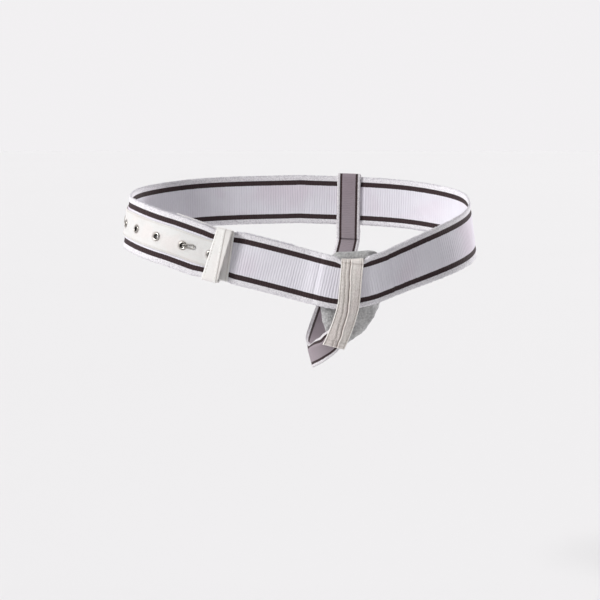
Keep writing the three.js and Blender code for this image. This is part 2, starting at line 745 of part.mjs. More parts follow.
// The leg strap's middle line and the direction across it, from under the leather to the belt's back
function legStations() {
  const under = LEG_THICK / 2 + legUnder;
  const hiddenTop = loopEnd + LEG_OVERLAP;
  const stations = steps(hiddenTop, loopEnd, LEG_OVERLAP / 3).map((z) => {
    const slope = (loopAcross(z + 1) - loopAcross(z - 1)) / 2;
    const across = new THREE.Vector2(1, -LOOP_SQUARE * slope).normalize();
    const settle = smoothStep(hiddenTop - z, 0, LEG_OVERLAP);
    const x = loopAcross(z) + LEG_OFFSET * across.x;
    const side = offFace(x + across.x, z + across.y, 0).sub(offFace(x - across.x, z - across.y, 0));
    return { point: offFace(x, z + LEG_OFFSET * across.y, under), side, twist: 0, curl: LEG_CURL_START * settle };
  });
  const end = stations[stations.length - 1].point;
  const back = beltFrame(legBackLength);
  const side = back.along.clone().negate();
  LEG_ROUTE.forEach(({ across, along, down, twist, curl }) => {
    const point = new THREE.Vector3(
      across * LEG_BACK_AT,
      THREE.MathUtils.lerp(end.y, RING_BACK, along),
      end.z - down * LEG_DROP,
    );
    stations.push({ point, side, twist, curl });
  });
  const reach = BELT_WIDTH / 2;
  const outside = BELT_THICK + LEG_EASE + LEG_THICK / 2;
  const inside = -LEG_EASE - LEG_THICK / 2;
  const sewn = outside - 1.4;
  const middle = (outside + inside) / 2;
  const radius = (outside - inside) / 2;
  const onBack = (up, out) =>
    stations.push({ point: inFrame(back, 0, up, out), side, twist: 0, curl: 0 });
  onBack(-reach - LEG_LOOP_TAIL, sewn);
  for (const up of [-reach - 2, 0, reach - 1]) onBack(up, outside);
  for (const turn of [45, 90, 135])
    onBack(reach - 0.1 + radius * Math.sin(turn * DEG), middle + radius * Math.cos(turn * DEG));
  for (const up of [reach - 1, 0, -reach - 2]) onBack(up, inside);
  onBack(-reach - LEG_LOOP_TAIL, sewn - LEG_THICK - 2 * GAP);
  return stations;
}

// Length along the belt at which it passes LEG_BACK_AT on the ring's back
const legBackLength = (() => {
  let low = RING_LENGTH / 4;
  let high = RING_LENGTH / 2;
  while (high - low > 1e-4) {
    const middle = (low + high) / 2;
    if (courseAt(middle).point.x > LEG_BACK_AT) low = middle;
    else high = middle;
  }
  return low;
})();

// The leg strap: a strip along those stations, with its edge rolled in where they say so
function legGeometry() {
  const stations = legStations();
  const curve = new THREE.CatmullRomCurve3(stations.map((s) => s.point), false, "centripetal");
  const perSpan = 3;
  const count = (stations.length - 1) * perSpan;
  const flat = LEG_WIDTH / 2 - LEG_CURL_WIDTH;
  const rings = [];
  for (let i = 0; i <= count; i += 1) {
    const span = Math.min(Math.floor(i / perSpan), stations.length - 2);
    const t = i / perSpan - span;
    const point = curve.getPoint(i / count);
    const tangent = curve.getTangent(i / count);
    const between = (column) => THREE.MathUtils.lerp(stations[span][column], stations[span + 1][column], t) * DEG;
    const flatSide = stations[span].side.clone().normalize().lerp(stations[span + 1].side.clone().normalize(), t);
    flatSide.addScaledVector(tangent, -flatSide.dot(tangent)).normalize();
    const side = flatSide.applyAxisAngle(tangent, between("twist"));
    const out = tangent.clone().cross(side).normalize();
    const curl = between("curl");
    const place = (across, away) => {
      const rolled = Math.max(0, -flat - across) / LEG_CURL_WIDTH;
      const turn = Math.max(curl * rolled, 1e-6);
      const radius = (LEG_CURL_WIDTH * rolled) / turn;
      const lateral = rolled > 0 ? -flat - radius * Math.sin(turn) - away * Math.sin(turn) : across;
      const depth = rolled > 0 ? -radius * (1 - Math.cos(turn)) + away * Math.cos(turn) : away;
      return point.clone().addScaledVector(side, lateral).addScaledVector(out, depth);
    };
    const half = LEG_WIDTH / 2;
    const across = [-half, -half + LEG_CURL_WIDTH * 0.33, -half + LEG_CURL_WIDTH * 0.66, -flat, flat, half];
    const top = across.map((a) => place(a, LEG_THICK / 2));
    const bottom = across.map((a) => place(a, -LEG_THICK / 2)).reverse();
    rings.push([...top, ...bottom]);
  }
  return loft(rings);
}

function piece(name, geometry, color, roughness, metalness = 0) {
  const mesh = new THREE.Mesh(geometry, new THREE.MeshStandardMaterial({ color, roughness, metalness }));
  mesh.name = name;
  return mesh;
}

const herniaBelt = new THREE.Group();
herniaBelt.add(
  piece("elastic_belt", beltGeometry(), WHITE_ELASTIC, 0.9),
  piece("end_patch", patchGeometry(), CREAM_LEATHER, 0.6),
  piece("eyelet_tab", tabGeometry(), CREAM_LEATHER, 0.55),
  piece("keeper_loop", keeperGeometry(), CREAM_LEATHER, 0.55),
  piece("wire_hook", wireGeometry(hookRoute(), HOOK_WIRE, 8, 54), NICKEL, 0.3, 1),
  piece("groin_pad", padGeometry(), PAD_COTTON, 0.95),
  piece("pad_loop", loopGeometry(), CREAM_LEATHER, 0.6),
  piece("leg_strap", legGeometry(), WHITE_ELASTIC, 0.9),
);
eyelets().forEach((geometry, i) => herniaBelt.add(piece(`eyelet_${i + 1}`, geometry, NICKEL, 0.3, 1)));

export default herniaBelt;
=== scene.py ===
"""Looks of a hernia belt: striped elastic webbing, cream leather, nickel and a soft cotton pad.

Lengths in the classes are millimetres, as in the part's source; meshes are made in metres, in the same frame.
"""

import json
import logging
import math
from dataclasses import dataclass, field
from enum import Enum

import bpy
import numpy as np
from numpy.typing import NDArray
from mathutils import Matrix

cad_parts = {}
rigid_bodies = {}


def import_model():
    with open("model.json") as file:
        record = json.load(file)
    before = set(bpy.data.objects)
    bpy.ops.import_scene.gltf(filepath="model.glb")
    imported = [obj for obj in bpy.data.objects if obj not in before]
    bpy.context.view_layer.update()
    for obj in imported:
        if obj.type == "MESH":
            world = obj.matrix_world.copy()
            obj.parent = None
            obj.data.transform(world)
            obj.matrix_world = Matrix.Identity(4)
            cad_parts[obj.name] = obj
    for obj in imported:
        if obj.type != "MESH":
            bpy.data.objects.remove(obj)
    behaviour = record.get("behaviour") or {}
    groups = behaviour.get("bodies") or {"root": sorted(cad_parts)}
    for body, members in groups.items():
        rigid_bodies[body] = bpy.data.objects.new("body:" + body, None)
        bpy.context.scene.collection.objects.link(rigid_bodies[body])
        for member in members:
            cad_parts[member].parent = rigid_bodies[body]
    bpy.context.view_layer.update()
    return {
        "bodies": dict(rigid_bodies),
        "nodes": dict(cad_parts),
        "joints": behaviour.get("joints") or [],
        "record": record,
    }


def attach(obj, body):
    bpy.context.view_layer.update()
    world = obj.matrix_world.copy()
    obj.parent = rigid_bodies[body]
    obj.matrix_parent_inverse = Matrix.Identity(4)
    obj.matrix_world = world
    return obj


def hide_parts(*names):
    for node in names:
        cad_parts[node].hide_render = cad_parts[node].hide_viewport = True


Array = NDArray[np.float64]
MM = 0.001
LOG = logging.getLogger("hernia_belt")


class Place(Enum):
    """Where a strip's fibres are rooted."""

    TOP_EDGE = 1
    BOTTOM_EDGE = -1


# Small maths.


def smooth_step(value: Array | float, start: float, end: float) -> Array:
    """Value that climbs from 0 at start to 1 at end, as 3t² - 2t³.

    Args:
        value: Places to read.
        start: Where the climb begins.
        end: Where it ends.

    Returns:
        The share of the climb at each place.
    """
    t = np.clip((np.asarray(value, dtype=float) - start) / (end - start), 0.0, 1.0)
    return t * t * (3.0 - 2.0 * t)


def unit(vectors: Array) -> Array:
    """Vectors divided by their lengths."""
    return vectors / np.maximum(np.linalg.norm(vectors, axis=-1, keepdims=True), 1e-12)


def run_lengths(path: Array) -> Array:
    """Length gone along a path at each of its points."""
    return np.concatenate([[0.0], np.cumsum(np.linalg.norm(np.diff(path, axis=0), axis=1))])


def circle(first: Array, second: Array, count: int) -> Array:
    """Points round unit circles: first times the turn's cosine plus second times its sine.

    Args:
        first: Directions at no turn.
        second: Directions at a quarter turn.
        count: Points round each circle.

    Returns:
        The points, on a new axis before the last.
    """
    turn = np.linspace(0, 2 * math.pi, count, endpoint=False)[:, None]
    return first[..., None, :] * np.cos(turn) + second[..., None, :] * np.sin(turn)


def signed_power(value: Array, power: float) -> Array:
    """A power of the value's size, with the value's sign."""
    return np.sign(value) * np.abs(value) ** power


def table_value(keys: Array, values: Array, place: Array) -> Array:
    """Value of a table at some places, on cubic pieces that take the slopes of the neighbouring rows.

    Args:
        keys: The rows' places, rising.
        values: The rows' values.
        place: Where to read.

    Returns:
        The value at each place.
    """
    i = np.clip(np.searchsorted(keys, place), 1, len(keys) - 1)
    before, after = np.maximum(i - 2, 0), np.minimum(i + 1, len(keys) - 1)
    run = keys[i] - keys[i - 1]
    t = (place - keys[i - 1]) / run
    start = (values[i] - values[before]) / (keys[i] - keys[before]) * run
    end = (values[after] - values[i - 1]) / (keys[after] - keys[i - 1]) * run
    return (
        (2 * t**3 - 3 * t**2 + 1) * values[i - 1]
        + (t**3 - 2 * t**2 + t) * start
        + (3 * t**2 - 2 * t**3) * values[i]
        + (t**3 - t**2) * end
    )


def smooth_curve(points: Array, places: Array, closed: bool = False) -> Array:
    """Points on a smooth curve through control points: each span is a cubic whose end slopes come from the
    square roots of the distances between the points.

    Args:
        points: Control points, one a row.
        places: Where to read, 0 at the first point and 1 at the last, or back at the first where closed.
        closed: Whether the curve runs back to its start.

    Returns:
        One point for each place.
    """
    count = len(points)
    spans = count if closed else count - 1
    at = np.clip(places, 0.0, 1.0) * spans
    i = np.minimum(at.astype(int), spans - 1)
    t = (at - i)[:, None]
    if closed:
        p0, p1, p2, p3 = (points[(i + k) % count] for k in (-1, 0, 1, 2))
    else:
        longer = np.vstack([2 * points[0] - points[1], points, 2 * points[-1] - points[-2]])
        p0, p1, p2, p3 = (longer[i + k] for k in (0, 1, 2, 3))
    d0, d1, d2 = (
        np.maximum(np.linalg.norm(b - a, axis=1, keepdims=True), 1e-8) ** 0.5
        for a, b in ((p0, p1), (p1, p2), (p2, p3))
    )
    m1 = ((p1 - p0) / d0 - (p2 - p0) / (d0 + d1) + (p2 - p1) / d1) * d1
    m2 = ((p2 - p1) / d1 - (p3 - p1) / (d1 + d2) + (p3 - p2) / d2) * d1
    return p1 + m1 * t + (-3 * p1 + 3 * p2 - 2 * m1 - m2) * t**2 + (2 * p1 - 2 * p2 + m1 + m2) * t**3


def steps(start: float, end: float, step: float) -> Array:
    """Evenly spaced values from start to end, no further apart than a step."""
    return np.linspace(start, end, max(1, math.ceil(abs(end - start) / step)) + 1)


def bell(value: Array, middle: float, width: float) -> Array:
    """A hump of height 1: exp(-((value - middle) / width)²)."""
    return np.exp(-(((value - middle) / width) ** 2))


def ripple(place: Array, seed: int, pitch: float) -> Array:
    """Smooth unsteady wave, mostly between -1 and 1: a third of the sum of five sines with seeded pitches and
    phases.

    Args:
        place: Where to read.
        seed: Picks the wave.
        pitch: Its usual length.

    Returns:
        The wave's height at each place.
    """
    chance = np.random.default_rng(seed)
    pitches = pitch * chance.uniform(0.55, 1.9, 5)
    phases = chance.uniform(0, 2 * math.pi, 5)
    return sum(np.sin(2 * math.pi * place / p + q) for p, q in zip(pitches, phases)) / 3.0


# Meshes.


def new_object(
    name: str,
    points: Array,
    faces: list[tuple[int, ...]],
    uv: Array | None = None,
    tone: Array | None = None,
    smooth: bool = True,
) -> bpy.types.Object:
    """A mesh object in metres from points in millimetres, with its faces turned to point outwards.

    Args:
        name: The object's name.
        points: One point a row, in millimetres.
        faces: Tuples of point numbers.
        uv: One pair for each point, in millimetres, kept in metres.
        tone: One number for each point: above 0 for painted shade, 1 at its darkest, as in a groove or inside
            an eyelet's hole; below 0 for a paler edge or a painted highlight, -1 at its palest.
        smooth: Whether it shades smooth.

    Returns:
        The object, linked to the scene.
    """
    mesh = bpy.data.meshes.new(name)
    mesh.from_pydata((points * MM).tolist(), [], faces)
    mesh.update()
    count = len(mesh.loops)
    corners = np.empty(count, dtype=np.int32)
    mesh.loops.foreach_get("vertex_index", corners)
    mesh.calc_loop_triangles()
    trios = np.empty(len(mesh.loop_triangles) * 3, dtype=np.int32)
    mesh.loop_triangles.foreach_get("vertices", trios)
    a, b, c = (points[trios.reshape(-1, 3)[:, k]] - points.mean(axis=0) for k in range(3))
    if (a * np.cross(b, c)).sum() < 0:
        mesh.flip_normals()
        mesh.loops.foreach_get("vertex_index", corners)
    if uv is not None:
        layer = mesh.uv_layers.new(name="strip")
        layer.data.foreach_set("uv", (uv[corners] * MM).ravel())
    if tone is not None:
        mesh.attributes.new("tone", "FLOAT", "POINT").data.foreach_set("value", tone.ravel())
    mesh.polygons.foreach_set("use_smooth", np.full(len(mesh.polygons), smooth))
    mesh.update()
    made = bpy.data.objects.new(name, mesh)
    bpy.context.scene.collection.objects.link(made)
    return made


def ring_faces(rings: int, around: int, closed: bool) -> list[tuple[int, ...]]:
    """Quads between neighbouring rings of points, with a flat cap at each end where the run isn't closed.

    Args:
        rings: How many rings.
        around: Points in each.
        closed: Whether the last ring joins the first.

    Returns:
        The faces.
    """
    r = np.arange(rings if closed else rings - 1)[:, None]
    i = np.arange(around)[None, :]
    this, over = r * around, ((r + 1) % rings) * around
    after = (i + 1) % around
    quads = np.stack([this + i, this + after, over + after, over + i], axis=-1).reshape(-1, 4)
    faces = [tuple(q) for q in quads.tolist()]
    if not closed:
        last = (rings - 1) * around
        faces += [tuple(range(around - 1, -1, -1)), tuple(range(last, last + around))]
    return faces


def tube_object(
    name: str,
    points: Array,
    uv: Array | None = None,
    tone: Array | None = None,
    closed: bool = False,
) -> bpy.types.Object:
    """A closed tube through rings of points, or many of them in one object.

    Args:
        name: The object's name.
        points: Rings by points by three, in millimetres, with an axis of tubes before them for many.
        uv: Pairs for the same points, or none.
        tone: Numbers for the same points, or none.
        closed: Whether a tube's last ring joins its first.

    Returns:
        The object.
    """
    rings, around = points.shape[-3:-1]
    one = ring_faces(rings, around, closed)
    firsts = range(0, points.size // 3, rings * around)
    faces = [tuple(first + i for i in face) for first in firsts for face in one]
    flat_uv = None if uv is None else uv.reshape(-1, 2)
    return new_object(name, points.reshape(-1, 3), faces, flat_uv, tone)


def strip_section(width: float, thick: float, rows: int, round_edge: float) -> tuple[Array, Array, Array]:
    """Section of a flat strip, round its edges: the front from -width/2 to width/2, then the back.

    Args:
        width: Its width.
        thick: Its thickness, not used.
        rows: Points along the front, and half as many along the back.
        round_edge: Width of the rounding at each edge.

    Returns:
        Distance across, share of the thickness (1 front, 0 back), and 1 for points of the front.
    """
    crowded, even = 0.18, 0.82
    front = np.sin(np.linspace(-math.pi / 2, math.pi / 2, rows)) * crowded + np.linspace(-1, 1, rows) * even
    back = np.linspace(1, -1, rows // 2)
    across = np.concatenate([front, back]) * width / 2
    edge = np.clip(1 - (width / 2 - np.abs(across)) / round_edge, 0, 1)
    half = 0.5 * np.sqrt(np.maximum(1 - edge**2, 0.04))
    is_front = np.concatenate([np.ones(rows), np.zeros(rows // 2)])
    return across, 0.5 + np.where(is_front > 0, half, -half), is_front


def strip_map(along: Array, across: Array) -> Array:
    """Length along and distance across of each point of a strip, as pairs."""
    return np.stack(np.broadcast_arrays(along, across), -1)


# The belt's course.


# Bearing in degrees, 0 at the front and 90 at +X; share of the climb from the ring's lowest place to its
# highest; and the lean in degrees by which the lower edge stands out.
COURSE = np.array(
    [
        (-180, 1.0, 9),
        (-135, 0.96, 9),
        (-108, 0.86, 8),
        (-90, 0.768, 7.4),
        (-75, 0.697, 7),
        (-61, 0.576, 5),
        (-46, 0.407, 2),
        (-25, 0.265, -1),
        (0, 0.119, -3),
        (12, 0.052, -5),
        (24, 0.0, -9),
        (35, 0.031, -18),
        (44, 0.116, -20),
        (52, 0.218, -16),
        (59, 0.312, -8),
        (65, 0.392, -2),
        (72, 0.481, 4),
        (82, 0.6, 7.4),
        (92, 0.699, 7.6),
        (108, 0.818, 8),
        (135, 0.944, 9),
        (180, 1.0, 9),
    ],
    dtype=float,
)


@dataclass
class Frames:
    """Places on the belt's inner face with their directions, each an array of vectors."""

    point: Array
    along: Array
    up: Array
    out: Array

    def at(self, along: Array | float, up: Array | float, out: Array | float) -> Array:
        """Points at distances along, up and out from each place.

        Args:
            along: Distances along the belt.
            up: Distances up across it.
            out: Distances out from its inner face.

        Returns:
            The points.
        """
        return (
            self.point
            + self.along * np.asarray(along)[..., None]
            + self.up * np.asarray(up)[..., None]
            + self.out * np.asarray(out)[..., None]
        )

    def rows(self) -> "Frames":
        """The same places with one more axis, for a row of points at each."""
        return Frames(*(v[:, None] for v in (self.point, self.along, self.up, self.out)))


@dataclass
class BeltCourse:
    """The ring that the belt follows: an ellipse with powers, table heights and leans, and the climb of the
    outer end over the inner one."""

    ring_width: float = 336
    ring_front: float = 92
    ring_back: float = 110
    squareness: float = 2.4
    drop: float = 73.7
    back_rise: float = 36
    width: float = 50
    thick: float = 2.2
    pinch: float = 2.4
    pinch_ease: float = 14
    gap: float = 0.3
    pad_at: float = 49
    pad_width: float = 72
    pad_push: float = 5
    tuck_radius: float = 84
    tuck_below: float = 2
    keeper_share: float = 0.235
    keeper_width: float = 14.8
    hook_reach: float = 34.7
    end_past_hook: float = 16
    end_under_keeper: float = 3
    patch_shows: float = 4.5
    patch_thick: float = 1.4
    layer_room: float = 1.1
    lift_ramp: float = 60
    lift_past_end: float = 4
    outer_drop: float = 1.3
    eyelet_count: int = 6
    eyelet_pitch: float = 28
    eyelet_below: float = 0.7
    hole_radius: float = 3.15
    tab_thick: float = 1.2
    loop_width: float = 20.4
    loop_beside: float = -1.6
    loop_lean: float = 0.1
    loop_dent: float = 3.2
    dent_ease: float = 12
    table_points: int = 1440
    points: Array = field(init=False, repr=False)
    lengths: Array = field(init=False, repr=False)
    outward: Array = field(init=False, repr=False)
    lean: Array = field(init=False, repr=False)

    def __post_init__(self) -> None:
        """Works out the ring and the places of the pieces on it."""
        self.trace_ring()
        self.place_closure()
        self.place_pad()

    def trace_ring(self) -> None:
        """Points, lengths, outward directions and leans of the ring, at even steps of the ellipse's angle."""
        angle = np.linspace(-math.pi, math.pi, self.table_points + 1)
        half = self.ring_width / 2
        depth = np.where(np.cos(angle) > 0, self.ring_front, self.ring_back)
        x = half * signed_power(np.sin(angle), 2 / self.squareness)
        y = -depth * signed_power(np.cos(angle), 2 / self.squareness)
        slopes = [signed_power(v / size, self.squareness - 1) / size for v, size in ((x, half), (y, depth))]
        self.outward = unit(np.stack(slopes, axis=1))
        bearing = np.degrees(np.arctan2(x, -y))
        bearing[0], bearing[-1] = -180, 180
        push = np.where(y < 0, self.pushed(x), 0.0)[:, None]
        plan = np.stack([x, y], 1) + self.outward * push
        self.points = np.column_stack([plan, self.height(bearing)])
        lengths = run_lengths(self.points)
        self.around = float(lengths[-1])
        self.lengths = lengths - lengths[self.table_points // 2]
        self.lean = self.leaning(bearing)

    def place_closure(self) -> None:
        """Places of the keeper, the hook, the eyelets and the belt's ends, and the height of the layers."""
        self.keeper_place = -self.keeper_share * self.ring_width
        self.hook_place = self.keeper_place - self.hook_reach
        self.inner_end = self.hook_place - self.end_past_hook
        self.patch_edge = self.keeper_place + self.keeper_width / 2 + self.patch_shows
        self.outer_end = self.around + self.keeper_place + self.keeper_width / 2 - self.end_under_keeper
        self.lift = self.thick + self.gap + self.patch_thick + self.layer_room
        self.tab_face = self.thick + self.gap + self.tab_thick
        order = np.arange(self.eyelet_count)
        self.eyelet_places = self.around + self.hook_place + self.eyelet_pitch * (1 - order)

    def place_pad(self) -> None:
        """Length, height and lean of the belt at the pad."""
        self.pad_length = float(np.interp(self.pad_at, *self.front_run()))
        self.pad_height = float(self.plain(np.array([self.pad_length]))[0][0, 2])
        self.foot = self.pad_height - self.width / 2
        self.pad_lean = float(np.tan(self.leaning(self.bearing_across(np.array([self.pad_at]))))[0])

    def pushed(self, x: Array) -> Array:
        """How far the pad pushes the ring's front out at a distance across, easing off beside the pad."""
        away = np.abs(x - self.pad_at) / (self.pad_width / 2)
        return self.pad_push * (1 - smooth_step(away, 0.55, 1.35))

    def height(self, bearing: Array) -> Array:
        """Height of the middle line at a bearing, from the table's shares of the drop."""
        return self.back_rise - self.drop * (1 - table_value(COURSE[:, 0], COURSE[:, 1], bearing))

    def leaning(self, bearing: Array) -> Array:
        """Angle in radians by which the lower edge stands out at a bearing."""
        return np.radians(table_value(COURSE[:, 0], COURSE[:, 2], bearing))

    def front_run(self) -> tuple[Array, Array]:
        """Distances across and lengths along the front quarter on the pad's side."""
        keep = (self.lengths >= 0) & (self.lengths < self.around / 5)
        return self.points[keep, 0], self.lengths[keep]

    def front_at(self, x: Array) -> Array:
        """The ring's front at a distance across from the middle."""
        inside = np.maximum(1 - (np.abs(x) / (self.ring_width / 2)) ** self.squareness, 0.0)
        return -self.ring_front * inside ** (1 / self.squareness) - self.pushed(x)

    def bearing_across(self, x: Array) -> Array:
        """Bearing in degrees of the ring's front at a distance across."""
        return np.degrees(np.arctan2(x, -self.front_at(x)))

    def plain(self, length: Array) -> tuple[Array, Array, Array]:
        """The ring before the outer end's climb.

        Args:
            length: Distances along the belt.

        Returns:
            Points, outward directions in plan, and leans.
        """
        low = self.lengths[0]
        place = np.mod(length - low, self.around) + low
        point = np.stack([np.interp(place, self.lengths, self.points[:, k]) for k in range(3)], -1)
        outward = np.stack([np.interp(place, self.lengths, self.outward[:, k]) for k in range(2)], -1)
        return point, unit(outward), np.interp(place, self.lengths, self.lean)

    def lifted(self, length: Array) -> tuple[Array, Array]:
        """The belt's inner face, with the climb and drop of its outer end.

        Args:
            length: Distances along the belt.

        Returns:
            Points, and the way out at each.
        """
        point, outward, lean = self.plain(length)
        out = np.concatenate([outward * np.cos(lean)[..., None], np.sin(lean)[..., None]], -1)
        full = self.around + self.inner_end - self.lift_past_end
        climb = smooth_step(length, full - self.lift_ramp, full)
        point = point + out * (self.lift * climb)[..., None]
        point[..., 2] -= self.outer_drop * climb
        return point, out

    def frames(self, length: Array | float) -> Frames:
        """The belt's frames at lengths: along by difference over 2 mm, up across out and along.

        Args:
            length: Distances along the belt from the front's middle.

        Returns:
            The frames.
        """
        length = np.asarray(length, dtype=float)
        point, out = self.lifted(length)
        along = unit(self.lifted(length + 1)[0] - self.lifted(length - 1)[0])
        up = unit(np.cross(out, along))
        return Frames(point, along, up, np.cross(along, up))

    def on_belt(self, length: Array, up: Array | float, out: Array | float) -> Array:
        """Points at a length along the belt and distances up and out from its inner face's middle line."""
        return self.frames(length).at(0.0, up, out)

    def width_at(self, length: Array) -> Array:
        """The belt's width, less where the keeper squeezes it.

        Args:
            length: Distances along the belt.

        Returns:
            The width at each.
        """
        away = np.abs(np.mod(length - self.keeper_place + 100, self.around) - 100)
        half = self.keeper_width / 2
        return self.width - self.pinch * (1 - smooth_step(away, half + 2, half + self.pinch_ease))

    def dent_at(self, length: Array) -> Array:
        """How far the leather loop presses the belt's upper edge down: full under it, then easing off.

        Args:
            length: Distances along the belt.

        Returns:
            The depth of the dent at each.
        """
        away = np.abs(length - self.pad_length - self.loop_beside - self.loop_lean * self.width / 2)
        half = self.loop_width / 2
        return self.loop_dent * (1 - smooth_step(away, half + 0.5, half + self.dent_ease))

    def face_at(self, x: Array, z: Array) -> Array:
        """Point of the surface under the pad and straps: the belt's inner face, carried straight on above and
        below it, and turned back on an arc below.

        Args:
            x: Distances across.
            z: Heights.

        Returns:
            The points.
        """
        x, z = np.broadcast_arrays(np.asarray(x, float), np.asarray(z, float))
        reach = self.width / 2
        length = self.pad_length + x - self.pad_at
        up = np.zeros_like(x)
        for _ in range(6):
            frames = self.frames(length)
            point = frames.at(0.0, up, 0.0)
            length = length + (x - point[..., 0]) / frames.along[..., 0]
            up = np.clip(up + (z - point[..., 2]) / frames.up[..., 2], -reach, reach)
        point = self.on_belt(length, up, 0.0)
        beyond = z - point[..., 2]
        below = np.clip(-beyond - self.tuck_below, 0, 0.9 * self.tuck_radius)
        tuck = self.tuck_radius - np.sqrt(self.tuck_radius**2 - below**2)
        return np.stack([x, point[..., 1] + beyond * self.pad_lean + tuck, z], -1)

    def off_face(self, x: Array, z: Array, out: Array | float) -> Array:
        """Points at a distance out from that surface, along its own outward direction.

        Args:
            x: Distances across.
            z: Heights.
            out: Distance out.

        Returns:
            The points.
        """
        x, z = np.broadcast_arrays(np.asarray(x, float), np.asarray(z, float))
        across = self.face_at(x + 1, z) - self.face_at(x - 1, z)
        up = self.face_at(x, z + 1) - self.face_at(x, z - 1)
        return self.face_at(x, z) + unit(np.cross(across, up)) * np.asarray(out)[..., None]


# Shaders.


Socket = bpy.types.NodeSocket


class Value:
    """A number socket on which shader maths is written as Python expressions."""

    def __init__(self, graph: "Graph", socket: Socket) -> None:
        """Wraps a socket of a graph."""
        self.graph = graph
        self.socket = socket

    def math(self, operation: str, *others: "Value | float") -> "Value":
        """One Math node on this value and others."""
        inputs = {f"_{i}": v for i, v in enumerate((self, *others))}
        return self.graph.value(0, "ShaderNodeMath", {"operation": operation}, **inputs)

    def __add__(self, other: "Value | float") -> "Value":
        """Sum."""
        return self.math("ADD", other)

    __radd__ = __add__

    def __mul__(self, other: "Value | float") -> "Value":
        """Product."""
        return self.math("MULTIPLY", other)

    __rmul__ = __mul__

    def __sub__(self, other: "Value | float") -> "Value":
        """Difference."""
        return self.math("SUBTRACT", other)

    def __rsub__(self, other: float) -> "Value":
        """Difference from a number."""
        return self.graph.number(other).math("SUBTRACT", self)

    def climb(self, start: float, end: float) -> "Value":
        """0 below start, 1 above end and smooth between."""
        settings = {"interpolation_type": "SMOOTHSTEP"}
        return self.graph.value(0, "ShaderNodeMapRange", settings, Value=self, From_Min=start, From_Max=end)


class Graph:
    """The node tree of a material or of the world."""

    def __init__(self, owner: bpy.types.Material | bpy.types.World) -> None:
        """Starts an empty tree.

        Args:
            owner: What the tree belongs to.
        """
        self.owner = owner
        owner.use_nodes = True
        self.tree = owner.node_tree
        self.tree.nodes.clear()

    def node(self, kind: str, settings: dict[str, object] | None = None, **inputs: object) -> bpy.types.Node:
        """Adds a node.

        Args:
            kind: The node's type.
            settings: Its own settings, set before its inputs.
            inputs: Values or links of its sockets, by name with _ for a space, or by number after a _.

        Returns:
            The node.
        """
        made = self.tree.nodes.new(kind)
        for key, value in (settings or {}).items():
            setattr(made, key, value)
        for key, value in inputs.items():
            socket = made.inputs[int(key[1:])] if key[0] == "_" else made.inputs[key.replace("_", " ")]
            if isinstance(value, Value):
                value = value.socket
            if isinstance(value, Socket):
                self.tree.links.new(value, socket)
            else:
                socket.default_value = value
        return made

    def value(
        self, output: int | str, kind: str, settings: dict[str, object] | None = None, **inputs: object
    ) -> Value:
        """One output of a new node, as a value."""
        return Value(self, self.node(kind, settings, **inputs).outputs[output])

    def number(self, value: float) -> Value:
        """A fixed number as a value."""
        return self.value(0, "ShaderNodeMath", {"operation": "ADD"}, _0=value, _1=0.0)

    def mix(self, share: Value | float, first: object, second: object) -> Socket:
        """A colour between two colours."""
        return self.node("ShaderNodeMix", {"data_type": "RGBA"}, _0=share, _6=first, _7=second).outputs[2]

    def on_object(self) -> Socket:
        """The object's own coordinates."""
        return self.node("ShaderNodeTexCoord").outputs["Object"]

    def noise(self, scale: float, detail: float = 2.0, vector: Socket | None = None) -> Value:
        """Noise between 0 and 1, with a scale in cells a metre, on object coordinates or a given vector."""
        place = vector or self.on_object()
        return self.value("Fac", "ShaderNodeTexNoise", None, Vector=place, Scale=scale, Detail=detail)

    def cells(self, scale: float, vector: Socket | None = None) -> Value:
        """Distance to the nearest of scattered cell middles, about 0 to 1."""
        place = vector or self.on_object()
        return self.value("Distance", "ShaderNodeTexVoronoi", None, Vector=place, Scale=scale)

    def tone(self) -> Value:
        """The piece's own tone: above 0 for painted shade in grooves, creases and holes, below 0 for paler
        edges and painted highlights.
        """
        return self.value("Fac", "ShaderNodeAttribute", {"attribute_name": "tone"})

    def along_and_across(self) -> tuple[Value, Value, Socket]:
        """The strip map's length and distance across, in millimetres, and the map itself.

        Returns:
            The two distances and the map's vector.
        """
        place = self.node("ShaderNodeUVMap", {"uv_map": "strip"}).outputs[0]
        parts = self.node("ShaderNodeSeparateXYZ", None, _0=place)
        along, across = (Value(self, parts.outputs[i]) * (1 / MM) for i in (0, 1))
        return along, across, place

    def surface(
        self, colour: object, bump: Value | None, depth: float, **inputs: object
    ) -> bpy.types.Material:
        """Closes the material with its surface shader.

        Args:
            colour: Colour or its link.
            bump: Height, 0 to 1, or none.
            depth: The height's full depth in metres.
            inputs: Other sockets of the shader.

        Returns:
            The material.
        """
        if bump is not None:
            inputs["Normal"] = self.node("ShaderNodeBump", None, Distance=depth, Height=bump).outputs[0]
        made = self.node("ShaderNodeBsdfPrincipled", None, Base_Color=colour, **inputs)
        self.node("ShaderNodeOutputMaterial", None, Surface=made.outputs[0])
        return self.owner


Colour = tuple[float, float, float, float]


